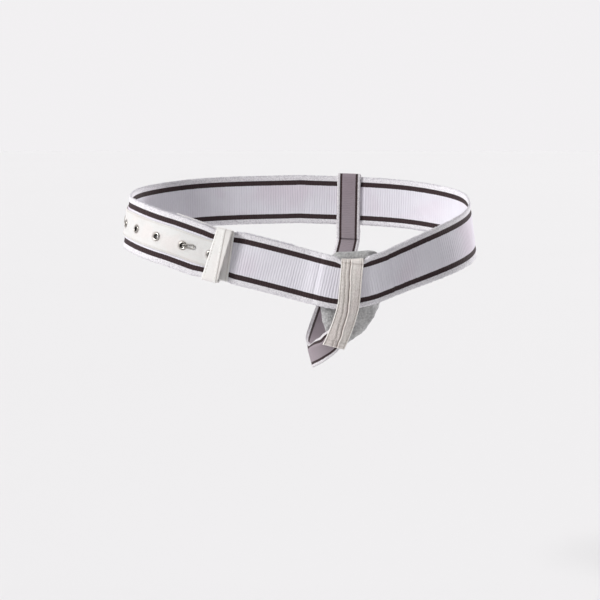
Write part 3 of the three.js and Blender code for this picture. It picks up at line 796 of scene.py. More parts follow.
@dataclass(frozen=True)
class ElasticFinish:
    """Striped elastic webbing: ribs across the middle, two woven stripes and looped margins."""

    name: str
    half_width: float
    margin: float
    stripe: float
    rib_pitch: float
    ground: Colour = (0.775, 0.765, 0.825, 1)
    shade: Colour = (0.55, 0.51, 0.58, 1)
    loops: Colour = (0.85, 0.835, 0.86, 1)
    loop_shade: Colour = (0.56, 0.535, 0.58, 1)
    blush: Colour = (0.74, 0.66, 0.74, 1)
    dark: Colour = (0.017, 0.0075, 0.0085, 1)
    dark_high: Colour = (0.042, 0.020, 0.023, 1)

    def material(self) -> bpy.types.Material:
        """The material, on the strip's own length and distance across.

        A rib is a sine along the strip, with a phase that noise shifts and a strength that a slow cloud sets;
        the ground is darker in the ribs' grooves, painted shade, and the stripes are lighter on their crests,
        a painted highlight. The weft is a finer sine across. Stripes and margins lie between distances from
        the strip's middle, and the margins' loops are darker away from their cells' middles, painted shade. A
        still slower cloud tints the ground.

        Returns:
            The material.
        """
        g = Graph(bpy.data.materials.new(self.name))
        along, across, place = g.along_and_across()
        wobble = (g.noise(900, 1, place) - 0.5) * 0.55
        off = across.math("ABSOLUTE") + wobble
        outer, inner = self.half_width - self.margin, self.half_width - self.margin - self.stripe
        past_inner, past_outer = off.climb(inner - 0.2, inner + 0.2), off.climb(outer - 0.2, outer + 0.2)
        striped = past_inner * (1.0 - past_outer)
        uneven = (g.noise(170, 2, place) - 0.5) * 1.3
        rib = ((along + uneven) * (2 * math.pi / self.rib_pitch)).math("SINE") * 0.5 + 0.5
        weft = (across * (2 * math.pi / 0.8)).math("SINE") * 0.5 + 0.5
        knots = g.cells(980, place)
        cloud = g.noise(34, 3)
        strength = cloud.climb(0.38, 0.68) * 0.34 + 0.08
        threads = g.noise(1900, 1, place) * 0.14
        ground = g.mix(g.noise(16, 2).climb(0.48, 0.66) * 0.7, self.ground, self.blush)
        # Painted shade: the ground darkens in the ribs' grooves, where the bump is low.
        middle = g.mix((1.0 - rib) * strength + weft * 0.1 + threads, ground, self.shade)
        # Painted shade: the margins' loops darken away from their cells' middles, where the bump is low.
        edging = g.mix(knots * 1.2 - 0.2, self.loops, self.loop_shade)
        # Painted highlight: the stripes lighten on the ribs' crests.
        stripes = g.mix(rib * 0.45 + g.noise(1500, 1, place) * 0.4, self.dark, self.dark_high)
        colour = g.mix(striped, g.mix(past_outer, middle, edging), stripes)
        height = (rib * 0.6 + weft * 0.25) * (1.0 - past_outer) + (1.0 - knots) * past_outer
        return g.surface(colour, height, 0.00032, Roughness=0.88, Sheen_Weight=0.02)


@dataclass(frozen=True)
class LeatherFinish:
    """Smooth leather with a fine grain and soft wrinkles, painted shade in its wrinkles, sewn grooves and
    creases, and paler edges.
    """

    name: str
    ground: Colour = (0.71, 0.71, 0.705, 1)
    shade: Colour = (0.60, 0.585, 0.57, 1)
    # Colour of the painted shade in grooves and creases.
    groove: Colour = (0.36, 0.30, 0.27, 1)
    # Colour of the paler edges and of the painted highlights beside creases.
    edge: Colour = (0.88, 0.875, 0.85, 1)
    blush: Colour = (0.74, 0.69, 0.675, 1)
    shine: float = 0.46
    wrinkled: float = 0.4

    def material(self) -> bpy.types.Material:
        """The material: grain on object coordinates, grooves and edges on the piece's tone.

        Wrinkles are noise that is stretched along the strip, kept where it crosses its middle value; they are
        hollows in the bump and darker in colour, painted shade. The tone paints shade into grooves and
        creases with the groove colour, and paler edges and painted highlights beside creases with the edge
        colour. A slow cloud tints the ground.

        Returns:
            The material.
        """
        g = Graph(bpy.data.materials.new(self.name))
        along, across, _ = g.along_and_across()
        stretched = g.node("ShaderNodeCombineXYZ", None, _0=along * 0.001, _1=across * 0.0024).outputs[0]
        fold = (g.noise(260, 3, stretched) - 0.5).math("ABSOLUTE")
        wrinkle = 1.0 - fold.climb(0.0, 0.05)
        grain = g.cells(1500)
        pores = g.noise(2600, 2)
        cloud = g.noise(60, 4)
        tone = g.tone()
        ground = g.mix(g.noise(42, 2).climb(0.45, 0.65) * 0.7, self.ground, self.blush)
        # Painted shade: the wrinkles, hollows in the bump, darken the colour.
        skin = g.mix((cloud - 0.34) * 0.9 + grain * 0.16 + wrinkle * self.wrinkled * 0.5, ground, self.shade)
        # Painted shade and highlight: the tone darkens grooves and creases to the groove colour; below 0 it
        # lightens edges, and the lips beside creases as painted highlights, to the edge colour.
        colour = g.mix(tone * -1.0, g.mix(tone, skin, self.groove), self.edge)
        height = grain * 0.35 + pores * 0.25 + (1.0 - wrinkle) * self.wrinkled
        rough = (cloud - 0.5) * 0.16 + (grain * 0.08 + self.shine)
        return g.surface(colour, height, 0.00016, Roughness=rough, Coat_Weight=0.05, Coat_Roughness=0.4)


@dataclass(frozen=True)
class CottonFinish:
    """Brushed cotton cover: short fibres over a soft knit."""

    name: str
    ground: Colour = (0.60, 0.60, 0.60, 1)
    shade: Colour = (0.235, 0.233, 0.236, 1)

    def material(self) -> bpy.types.Material:
        """The material, on object coordinates: cells for tufts, fine noise for the nap, and a grey cloud.

        Returns:
            The material.
        """
        g = Graph(bpy.data.materials.new(self.name))
        nap = g.noise(1100, 4)
        tufts = g.cells(430)
        cloud = g.noise(75, 3)
        # Painted shade: the colour darkens away from each tuft's middle, where the bump is low.
        colour = g.mix(nap * 0.4 + tufts * 0.6 + (cloud - 0.5) * 1.1, self.ground, self.shade)
        height = nap * 0.6 + (1.0 - tufts) * 0.8
        return g.surface(colour, height, 0.0008, Roughness=0.95, Sheen_Weight=0.3, Sheen_Roughness=0.45)


@dataclass(frozen=True)
class MetalFinish:
    """Nickel plate with rubbing marks; nearly black inside the eyelets' holes as painted shade, and darker
    and duller all over the hook.
    """

    name: str
    ground: Colour = (0.50, 0.48, 0.45, 1)
    worn: Colour = (0.30, 0.27, 0.235, 1)
    # Colour of the painted shade inside the eyelets' holes; the hook takes a quarter of it.
    dark: Colour = (0.035, 0.03, 0.028, 1)

    def material(self) -> bpy.types.Material:
        """The material: marks on object coordinates, and the dark inside on the piece's tone.

        Returns:
            The material.
        """
        g = Graph(bpy.data.materials.new(self.name))
        cloud = g.noise(420, 4)
        tone = g.tone()
        rubbed = g.mix(cloud.climb(0.42, 0.75) * 0.8, self.ground, self.worn)
        rough = cloud * 0.25 + tone * 0.4 + 0.18
        metal = 1.0 - tone * 0.8
        # Painted shade: the tone turns the plate towards the dark colour, dull and hardly metallic.
        return g.surface(
            g.mix(tone, rubbed, self.dark), g.noise(3200, 2), 0.00003, Metallic=metal, Roughness=rough
        )


@dataclass(frozen=True)
class ThreadFinish:
    """Sewing thread or loose fibre."""

    name: str
    ground: Colour = (0.80, 0.79, 0.82, 1)
    shade: Colour = (0.56, 0.54, 0.57, 1)

    def material(self) -> bpy.types.Material:
        """The material, on object coordinates.

        Returns:
            The material.
        """
        g = Graph(bpy.data.materials.new(self.name))
        twist = g.noise(2400, 1)
        colour = g.mix(twist.climb(0.3, 0.7), self.ground, self.shade)
        return g.surface(colour, twist, 0.00008, Roughness=0.8, Sheen_Weight=0.15)


# Dressing.


def dress(piece: bpy.types.Object, material: bpy.types.Material, slot: str, *nodes: str) -> None:
    """Gives a piece its finish and its body, and hides the nodes that it stands for.

    Args:
        piece: The object.
        material: Its finish.
        slot: The record's material slot, not used.
        nodes: Nodes that it replaces.
    """
    piece.data.materials.clear()
    piece.data.materials.append(material)
    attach(piece, "root")
    if nodes:
        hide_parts(*nodes)
    LOG.info("%s: %d faces", piece.name, len(piece.data.polygons))


@dataclass
class Sewing:
    """Rows of stitches: each a short rounded thread that dips at both ends."""

    length: float = 2.0
    pitch: float = 2.9
    thick: float = 0.42
    runs: list[Array] = field(default_factory=list)

    def add(self, path: Array, out: Array) -> None:
        """Adds a row of stitches along a path.

        Args:
            path: Points of the row, on the leather's face.
            out: The face's direction at each of them.
        """
        gone = run_lengths(path)
        count = max(1, int(gone[-1] / self.pitch))
        starts = (np.arange(count) + 0.5) * gone[-1] / count
        shares = np.linspace(-0.5, 0.5, 5)
        places = starts[:, None] + shares[None, :] * self.length
        middle = np.stack([np.interp(places, gone, path[:, k]) for k in range(3)], -1)
        away = unit(np.stack([np.interp(places, gone, out[:, k]) for k in range(3)], -1))
        arch = self.thick * (0.55 * np.cos(shares * math.pi) - 0.2)
        along = unit(middle[:, -1] - middle[:, 0])[:, None, :]
        side = np.cross(along, away)
        radius = 0.5 * self.thick * np.array([0.45, 0.9, 1.0, 0.9, 0.45])
        centre = middle + away * arch[:, None]
        self.runs.append(centre[:, :, None] + circle(side, away, 6) * radius[:, None, None])

    def add_on_belt(self, course: BeltCourse, length: Array, up: Array | float, out: Array | float) -> None:
        """Adds a row along lengths of the belt, at distances up and out from its inner face's middle line."""
        frames = course.frames(length)
        self.add(frames.at(0.0, up, out), frames.out)

    def build(self, name: str) -> bpy.types.Object:
        """One object of all the rows."""
        return tube_object(name, np.concatenate(self.runs))


def punch(piece: bpy.types.Object, course: BeltCourse) -> None:
    """Cuts a round hole for each eyelet through a strip of the belt's outer end.

    Args:
        piece: The strip to cut.
        course: The belt's course.
    """
    past = 1.5
    frames = course.frames(course.eyelet_places)
    middle = frames.at(0.0, -course.eyelet_below, 0.0)
    rim = middle[:, None, :] + circle(frames.along, frames.up, 24) * course.hole_radius
    ends = np.stack([rim + frames.out[:, None] * h for h in (-past, course.tab_face + past)], 1)
    cutter = tube_object("hole_cutter", ends)
    cut = piece.modifiers.new("holes", "BOOLEAN")
    cut.operation, cut.solver, cut.object = "DIFFERENCE", "EXACT", cutter
    graph = bpy.context.evaluated_depsgraph_get()
    done = bpy.data.meshes.new_from_object(piece.evaluated_get(graph))
    piece.modifiers.clear()
    piece.data = done
    bpy.data.objects.remove(cutter)


@dataclass
class ElasticBelt:
    """The striped belt, from its inner end round the ring to its outer end over it."""

    course: BeltCourse
    step: float = 0.62
    rows: int = 36
    edge_round: float = 1.5
    margin: float = 5.15
    stripe: float = 4.95
    sink: float = 0.3
    plump: float = 0.12
    edge_wave: float = 0.3
    rib_pitch: float = 2.5
    rib_height: float = 0.035
    left_fold: float = 33
    right_fold: float = 42

    def build(self) -> bpy.types.Object:
        """The belt: its section carried along the course, with relief, ribs and folds, and holes for eyelets.

        Returns:
            The belt.
        """
        c = self.course
        length = steps(c.inner_end, c.outer_end, self.step)
        across, share, front = strip_section(c.width, c.thick, self.rows, self.edge_round)
        flat = share * c.thick + self.relief(across, front)
        out = flat + self.ribs(length, across, front) + self.folds(length, across)
        points = c.frames(length).rows().at(0.0, self.heights(length, across), out)
        piece = tube_object("elastic_belt_cloth", points, strip_map(length[:, None], across))
        punch(piece, c)
        finish = ElasticFinish("striped elastic", c.width / 2, self.margin, self.stripe, self.rib_pitch)
        dress(piece, finish.material(), "elastic", "elastic_belt")
        return piece

    def heights(self, length: Array, across: Array) -> Array:
        """Distance up from the middle line: the section's own, less under the keeper, with edges that wander
        and a dent under the leather loop.

        Args:
            length: Distances along the belt.
            across: The section's distances across.

        Returns:
            Lengths by points of the section.
        """
        c = self.course
        wide = (c.width_at(length) / c.width)[:, None]
        edge = smooth_step(np.abs(across), c.width / 2 - 3, c.width / 2)
        top, bottom = ripple(length, 3, 3.1)[:, None], ripple(length, 4, 3.4)[:, None]
        wave = np.where(across > 0, top, -bottom) * self.edge_wave * edge
        pressed = c.dent_at(length)[:, None] * smooth_step(across, 14, c.width / 2)
        return across * wide + wave - pressed

    def relief(self, across: Array, front: Array) -> Array:
        """Height over the flat section: the stripes lie a little deeper and the margins are fuller.

        Args:
            across: The section's distances across.
            front: 1 for its front points.

        Returns:
            The height at each point of the section.
        """
        off = np.abs(across)
        outer = self.course.width / 2 - self.margin
        inner = outer - self.stripe
        sunk = smooth_step(off, inner - 0.5, inner + 0.3) * (1 - smooth_step(off, outer - 0.3, outer + 0.5))
        plump = self.plump * np.sin(math.pi * np.clip((off - outer) / self.margin, 0, 1))
        return (plump - self.sink * sunk) * np.where(front > 0, 1, -0.5)

    def ribs(self, length: Array, across: Array, front: Array) -> Array:
        """Height of the ribs inside the margins: a sine along the belt whose phase and strength wander.

        Args:
            length: Distances along the belt.
            across: The section's distances across.
            front: 1 for its front points.

        Returns:
            Lengths by points of the section.
        """
        outer = self.course.width / 2 - self.margin
        strength = 0.55 + 0.45 * ripple(length, 15, 60)[:, None]
        strength = strength + 0.25 * ripple(length[:, None] + 3 * across, 16, 21)
        phase = 2 * math.pi * (length + 0.5 * ripple(length, 14, 23)) / self.rib_pitch
        on_ground = 1 - smooth_step(np.abs(across), outer - 0.5, outer + 0.5)
        return self.rib_height * np.sin(phase)[:, None] * strength * on_ground * np.where(front > 0, 1, -0.6)

    def folds(self, length: Array, across: Array) -> Array:
        """Height of the folds across the belt: shallow hollows and swells at the pad's rim, and small ripples
        beside it.

        Args:
            length: Distances along the belt.
            across: The section's distances across.

        Returns:
            Lengths by points of the section.
        """
        c = self.course
        left, right = c.pad_length - self.left_fold, c.pad_length + self.right_fold
        # Place, height and width of each.
        bells = (
            (left, -0.5, 2.2),
            (left + 4.5, 0.3, 3),
            (right, -0.7, 2.0),
            (right - 5, 0.4, 3),
            (right + 5, 0.3, 3),
        )
        hollow = sum(height * bell(length, place, width) for place, height, width in bells)
        beside = bell(length, right + 2, 26) + 0.35 * bell(length, left, 22)
        folds = hollow + 0.16 * ripple(length, 11, 7.5) * beside + 0.05 * ripple(length, 12, 14)
        return folds[:, None] * (1 - 0.35 * (across / (c.width / 2)) ** 2)


@dataclass
class EdgeFuzz:
    """Loose loops of pile that stand over the belt's edges, thickest over the top edge by the closure."""

    course: BeltCourse
    seed: int = 5
    thick: float = 0.16
    root: float = 0.6

    def build(self) -> bpy.types.Object:
        """Scattered bent fibres: each leaves the edge, leans along it and curls over.

        Returns:
            The fibres as one object.
        """
        c = self.course
        chance = np.random.default_rng(self.seed)
        # First and last length, count, edge and usual height of each bed.
        beds = (
            (c.inner_end, c.outer_end, 1700, Place.TOP_EDGE, 0.5),
            (c.inner_end, c.outer_end, 1300, Place.BOTTOM_EDGE, 0.38),
            (c.around - 170, c.outer_end - 12, 460, Place.TOP_EDGE, 1.15),
            (c.patch_edge, -12.0, 300, Place.TOP_EDGE, 1.2),
        )
        piece = tube_object("edge_fuzz", np.concatenate([self.fibres(chance, *bed) for bed in beds]))
        finish = ThreadFinish("loose pile", (0.80, 0.79, 0.83, 1), (0.56, 0.54, 0.60, 1))
        dress(piece, finish.material(), "elastic")
        return piece

    def fibres(
        self, chance: np.random.Generator, start: float, end: float, count: int, place: Place, size: float
    ) -> Array:
        """Fibres along one edge: a bent path of four rings of three points each.

        Args:
            chance: Source of the scatter.
            start: First length along the belt.
            end: Last length.
            count: How many.
            place: Which edge.
            size: Usual height over the edge.

        Returns:
            Fibres by rings by points by three.
        """
        c = self.course
        length = chance.uniform(start, end, count)
        tall = size * chance.uniform(0.35, 1.15, count) ** 1.3
        slide = chance.normal(0, 0.55, count) * size
        out = chance.uniform(0.2, c.thick - 0.2, count)
        tip = chance.normal(0, 0.35, count)
        frames = c.frames(length)
        t = np.array([0.0, 0.4, 0.75, 1.0])[:, None]
        edge = c.width_at(length) / 2 - self.root - (c.dent_at(length) if place is Place.TOP_EDGE else 0.0)
        up = place.value * (edge + (self.root + tall) * np.sin(t * 1.75) / math.sin(1.57))
        along = slide * t**1.4
        away = out + tip * t**2
        path = frames.rows().at(along.T, up.T, away.T)
        radius = self.thick * np.array([1.0, 0.9, 0.7, 0.3])[:, None, None]
        return path[:, :, None] + circle(frames.along, frames.out, 3)[:, None] * radius


@dataclass
class Closure:
    """Tab, eyelets, hook, keeper and end patch."""

    course: BeltCourse
    rows: int = 30
    edge_round: float = 0.9
    tab_width: float = 26
    tab_corner: float = 9
    tab_past_eyelet: float = 14
    seam_inset: float = 1.7
    keeper_thick: float = 1.3
    keeper_edge_round: float = 0.8
    keeper_corner: float = 2.4
    keeper_ease: float = 0.4
    keeper_slant: float = 0.06
    keeper_seam_inset: float = 1.9
    keeper_sag: float = 0.3
    keeper_sag_run: float = 14
    fold_at: float = 3.3
    fold_slant: float = 0.095
    patch_slant: float = -0.07
    eyelet_hole: float = 4.6
    eyelet_wall: float = 0.55
    eyelet_flange: float = 8.2
    eyelet_flange_thick: float = 0.8
    eyelet_washer: float = 7.4
    eyelet_washer_thick: float = 0.5
    hook_wire: float = 1.1
    hook_stem_spacing: float = 1.6
    hook_tip_spacing: float = 3.3
    hook_length: float = 12.6
    hook_base: float = 13
    hook_tilt: float = 12

    def build(self, sewing: Sewing) -> None:
        """Makes every piece of the closure.

        Args:
            sewing: Takes their stitches.
        """
        leather = LeatherFinish("cream leather").material()
        # A brighter copy of the cream leather for the keeper and the end patch: painted light that offsets
        # the shade they lie in.
        strap = LeatherFinish(
            "cream leather brightened with painted light",
            ground=(0.87, 0.865, 0.85, 1),
            shade=(0.76, 0.735, 0.71, 1),
            blush=(0.87, 0.83, 0.82, 1),
        ).material()
        metal = MetalFinish("nickel").material()
        rings = (f"eyelet_{i + 1}" for i in range(self.course.eyelet_count))
        dress(self.tab(sewing), leather, "cream_leather", "eyelet_tab")
        dress(self.keeper(sewing), strap, "cream_leather", "keeper_loop")
        dress(self.patch(sewing), strap, "cream_leather", "end_patch")
        dress(self.eyelets(), metal, "nickel", *rings)
        dress(self.hook(), metal, "nickel", "wire_hook")

    def tab(self, sewing: Sewing) -> bpy.types.Object:
        """The tab: a strip whose far end narrows on a quarter circle at each corner, slightly raised round
        each eyelet.

        Args:
            sewing: Takes its stitches.

        Returns:
            The tab.
        """
        c = self.course
        start = float(c.eyelet_places[-1]) - self.tab_past_eyelet
        corner = start + self.tab_corner
        length = np.concatenate([steps(start, corner, 0.5)[:-1], steps(corner, c.outer_end, 1.2)])
        past = np.clip(1 - (length - start) / self.tab_corner, 0, 0.995)
        wide = self.tab_width - 2 * self.tab_corner * (1 - np.sqrt(1 - past**2))
        across, share, front = strip_section(self.tab_width, c.tab_thick, self.rows, self.edge_round)
        up = across * (wide / self.tab_width)[:, None]
        near = np.hypot(length[:, None, None] - c.eyelet_places, up[..., None] + c.eyelet_below)
        pucker = (0.16 * bell(near, 5.4, 1.3) - 0.12 * bell(near, 7.6, 1.4)).sum(-1)
        off, seam = np.abs(across), self.tab_width / 2 - self.seam_inset
        out = c.thick + c.gap + share * c.tab_thick + (pucker - 0.14 * bell(off, seam, 0.45)) * front
        # Painted shade: darker in a ring at each eyelet's flange rim and in the sewn grooves.
        tone = (0.5 * bell(near, 4.3, 0.7).sum(-1) + 0.3 * bell(off, seam, 0.4)) * front
        points = c.frames(length).rows().at(0.0, up, out)
        piece = tube_object("eyelet_tab_leather", points, strip_map(length[:, None], across), tone)
        punch(piece, c)
        row = steps(start + self.tab_corner * 0.7, c.outer_end - 1, 1.5)
        for side in (-1, 1):
            sewing.add_on_belt(c, row, side * seam, c.tab_face - 0.08)
        return piece

    def keeper_path(self, low: float, high: float, under: float, over: float) -> Array:
        """Path round a rectangle with round corners, across the belt.

        Args:
            low: Its lowest height.
            high: Its highest.
            under: Its least distance out.
            over: Its greatest.

        Returns:
            Height and distance out of each point, and the two parts of the outward direction there.
        """
        r = self.keeper_corner
        corners = (
            (high - r, over - r, 0),
            (low + r, over - r, 90),
            (low + r, under + r, 180),
            (high - r, under + r, 270),
        )
        parts = []
        for (x, y, start), (next_x, next_y, then) in zip(corners, corners[1:] + corners[:1]):
            turn = np.radians(np.linspace(start, start + 90, 9))
            arc = np.stack([x + r * np.cos(turn), y + r * np.sin(turn), np.cos(turn), np.sin(turn)], 1)
            angle = math.radians(then)
            last = np.array([next_x + r * math.cos(angle), next_y + r * math.sin(angle)])
            run = steps(0, 1, 1.5 / max(float(np.linalg.norm(last - arc[-1, :2])), 1.6))[1:-1, None]
            line = arc[-1, :2] * (1 - run) + last * run
            parts += [arc, np.concatenate([line, np.repeat(arc[-1:, 2:], len(line), 0)], 1)]
        return np.concatenate(parts)

    def sag(self, height: Array, across: Array) -> Array:
        """How far the keeper's front hangs in, most in its middle."""
        share = across / (self.course.keeper_width / 2)
        return -self.keeper_sag * bell(height, 0, self.keeper_sag_run) * (1 - share**2)

    def keeper(self, sewing: Sewing) -> bpy.types.Object:
        """The keeper: a strip carried round both layers of the belt. It is folded: the upper fold ends at a
        slanting line, past which the lower one lies deeper and in its shade.

        Args:
            sewing: Takes its stitches.

        Returns:
            The keeper.
        """
        c = self.course
        half = c.keeper_width / 2
        over = c.lift + c.tab_face + self.eyelet_flange_thick + 2 * c.gap + self.keeper_thick / 2
        high = (c.width - c.pinch) / 2 + self.keeper_ease + self.keeper_thick / 2
        low = -high - c.outer_drop
        path = self.keeper_path(low, high, -self.keeper_ease - self.keeper_thick / 2, over)
        level, depth = path[:, :1], path[:, 1:2]
        across, share, front = strip_section(
            c.keeper_width, self.keeper_thick, self.rows, self.keeper_edge_round
        )
        on_front = smooth_step(depth, 1.0, over - 1.0) * front
        line = self.fold_at - self.fold_slant * np.clip(level, low, high)
        past = smooth_step(across - line, -0.25, 0.25)
        lip = 0.18 * bell(across, line - 0.9, 0.8) - 0.3 * past
        seam = -0.18 * bell(across, self.keeper_seam_inset - half, 0.4)
        wave = 0.12 * ripple(level * 1.3 + 40 + 0.6 * across, 21, 11)
        sag = self.sag(level, across) * (depth > 2)
        out = (share - 0.5) * self.keeper_thick + sag + (lip + seam + wave) * on_front
        # Painted shade on the fold's end and on the lower fold past it; a painted highlight on the upper
        # fold's lip, and paler edges.
        rim = bell(np.abs(across), half - 0.2, 0.35) * (1 - past)
        dark = 0.7 * bell(across, line + 0.15, 0.35) + 0.16 * past
        tone = (dark - (0.5 * bell(across, line - 0.6, 0.5) + 0.5 * rim)) * on_front
        place = c.keeper_place + across + self.keeper_slant * level
        points = c.on_belt(place, level + path[:, 2:3] * out, depth + path[:, 3:4] * out)
        uv = strip_map(run_lengths(path[:, :2])[:, None], across)
        piece = tube_object("keeper_loop_leather", points, uv, tone, closed=True)
        row = steps(low + self.keeper_corner, high - self.keeper_corner, 1.0)
        face = over + self.keeper_thick / 2
        by_fold = self.fold_at - self.fold_slant * row - 1.3
        by_edge = np.full_like(row, self.keeper_seam_inset - half)
        for at, height in ((by_fold, face - 0.02), (by_edge, face - 0.14)):
            stitched = c.keeper_place + at + self.keeper_slant * row
            sewing.add_on_belt(c, stitched, row, height + self.sag(row, at))
        return piece

    def patch(self, sewing: Sewing) -> bpy.types.Object:
        """The end patch: a strip over the belt's inner end, with one slanted edge that shows by the keeper.

        Args:
            sewing: Takes its stitches.

        Returns:
            The patch.
        """
        c = self.course
        length = steps(c.inner_end + 2, c.patch_edge, 1.6)[:, None]
        across, share, front = strip_section(c.width, c.patch_thick, self.rows, self.edge_round)
        sewn = c.patch_edge - self.seam_inset
        seam = -0.2 * bell(length, sewn, 0.6) * front
        end = -0.25 * c.patch_thick * smooth_step(length, c.patch_edge - 0.7, c.patch_edge) * front
        out = c.thick + c.gap + share * c.patch_thick + seam + end
        # The tone makes the patch a little darker all over, paints shade into the sewn groove and makes its
        # edge paler.
        rim = bell(length, c.patch_edge - 0.2, 0.5) - 0.55 * bell(length, sewn, 0.5)
        points = c.on_belt(length + self.patch_slant * across, across * (c.width_at(length) / c.width), out)
        uv = strip_map(length, across)
        piece = tube_object("end_patch_leather", points, uv, (0.04 - 0.7 * rim) * front)
        row = steps(2.0 - c.width / 2, c.width / 2 - 2.0, 1.2)
        face = c.thick + c.gap + c.patch_thick
        sewing.add_on_belt(c, sewn + self.patch_slant * row, row * 0.97, face - 0.12)
        return piece

    def eyelets(self) -> bpy.types.Object:
        """The eyelets: one turned profile at each place, its flange rolled to a round lip.

        Returns:
            All of them as one object.
        """
        c = self.course
        hole, flange, washer = self.eyelet_hole / 2, self.eyelet_flange / 2, self.eyelet_washer / 2
        barrel = hole + self.eyelet_wall
        thick = self.eyelet_flange_thick
        through = c.tab_face + 2 * c.gap
        roll = np.radians(np.linspace(180, 15, 10))
        middle = (hole + flange - 0.15) / 2
        lip = np.stack([middle + (middle - hole) * np.cos(roll), 0.15 + (thick - 0.15) * np.sin(roll)], 1)
        back = self.eyelet_washer_thick
        rest = np.array(
            [
                (flange, 0.12),
                (flange - 0.25, 0),
                (barrel, 0),
                (barrel, -through),
                (washer - 0.2, -through),
                (washer, -through - 0.2),
                (washer - 0.4, -through - back * 0.8),
                ((washer + hole) / 2, -through - back),
                (hole + 0.2, -through - back * 0.8),
                (hole, -through - back * 0.3),
            ]
        )
        profile = np.concatenate([lip, rest])
        frames = c.frames(c.eyelet_places)
        side = circle(frames.along, frames.up, 40)
        seat = frames.at(0.0, -c.eyelet_below, c.tab_face + c.gap)
        points = (
            seat[:, None, None]
            + side[:, :, None] * profile[:, :1]
            + frames.out[:, None, None] * profile[:, 1:]
        )
        # Painted shade: points on the hole's wall and round the back take tone 1, which paints them nearly
        # black.
        inside = (profile[:, 0] < hole + 0.12) | (profile[:, 1] < -1)
        tone = np.broadcast_to(inside, points.shape[:3]).astype(float)
        return tube_object("eyelet_rings", points, tone=tone, closed=True)

    def hook(self) -> bpy.types.Object:
        """The wire: a round section carried without twist along a smooth curve, up through the second eyelet
        from the belt's end and over it in a long loop.

        Returns:
            The hook.
        """
        c = self.course
        stem, tip, wire = self.hook_stem_spacing / 2, self.hook_tip_spacing / 2, self.hook_wire / 2
        under = c.thick - c.lift + 2 * c.gap + wire
        over = c.tab_face + c.gap + self.eyelet_flange_thick + c.gap + wire
        on_tab = c.tab_face + c.gap + wire + 0.25
        # Distances along from the eyelet, to the side, and out.
        side = np.array(
            [
                (self.hook_base, stem, under),
                (self.hook_base * 0.5, stem, under),
                (2.2, stem, under),
                (0.5, stem, under + 0.5),
                (0, stem, under + 2),
                (0, stem, 0.5 * c.tab_face),
                (0, stem, over - 1.4),
                (0.5, stem, over - 0.4),
                (1.7, stem, over),
                (self.eyelet_flange / 2 + 0.4, stem + (tip - stem) * 0.45, over - 0.1),
                (self.hook_length * 0.62, stem + (tip - stem) * 0.9, on_tab + 0.3),
                (self.hook_length - wire - tip, tip, on_tab),
                (self.hook_length - wire - 0.3 * tip, 0.72 * tip, on_tab),
            ]
        )
        end = np.array([(self.hook_length - wire, 0, on_tab)])
        route = np.concatenate([side, end, side[::-1] * np.array([1, -1, 1])])
        tilt = math.radians(self.hook_tilt)
        along = route[:, 0] * math.cos(tilt) - route[:, 1] * math.sin(tilt)
        up = route[:, 0] * math.sin(tilt) + route[:, 1] * math.cos(tilt) - c.eyelet_below
        points = c.frames(c.around + c.hook_place).at(along, up, route[:, 2])
        path = smooth_curve(points, np.linspace(0, 1, 190))
        tangent = unit(np.gradient(path, axis=0))
        across = unit(np.cross(tangent, np.array([0.12, -0.35, 0.93])))
        section = circle(across, np.cross(tangent, across), 12) * wire
        # The whole hook takes tone 0.25, a quarter of the way to the dark, dull colour.
        return tube_object("wire_hook_bent", path[:, None] + section, tone=np.full(section.shape[:2], 0.25))


# Points round the pad's outline: shares of its width and of its height, from its middle.
PAD_OUTLINE = np.array(
    [
        (0.04, 0.505),
        (0.4, 0.495),
        (0.57, 0.37),
        (0.535, 0.12),
        (0.39, -0.17),
        (0.12, -0.42),
        (-0.18, -0.505),
        (-0.355, -0.36),
        (-0.455, -0.08),
        (-0.48, 0.15),
        (-0.465, 0.355),
        (-0.31, 0.475),
    ]
)


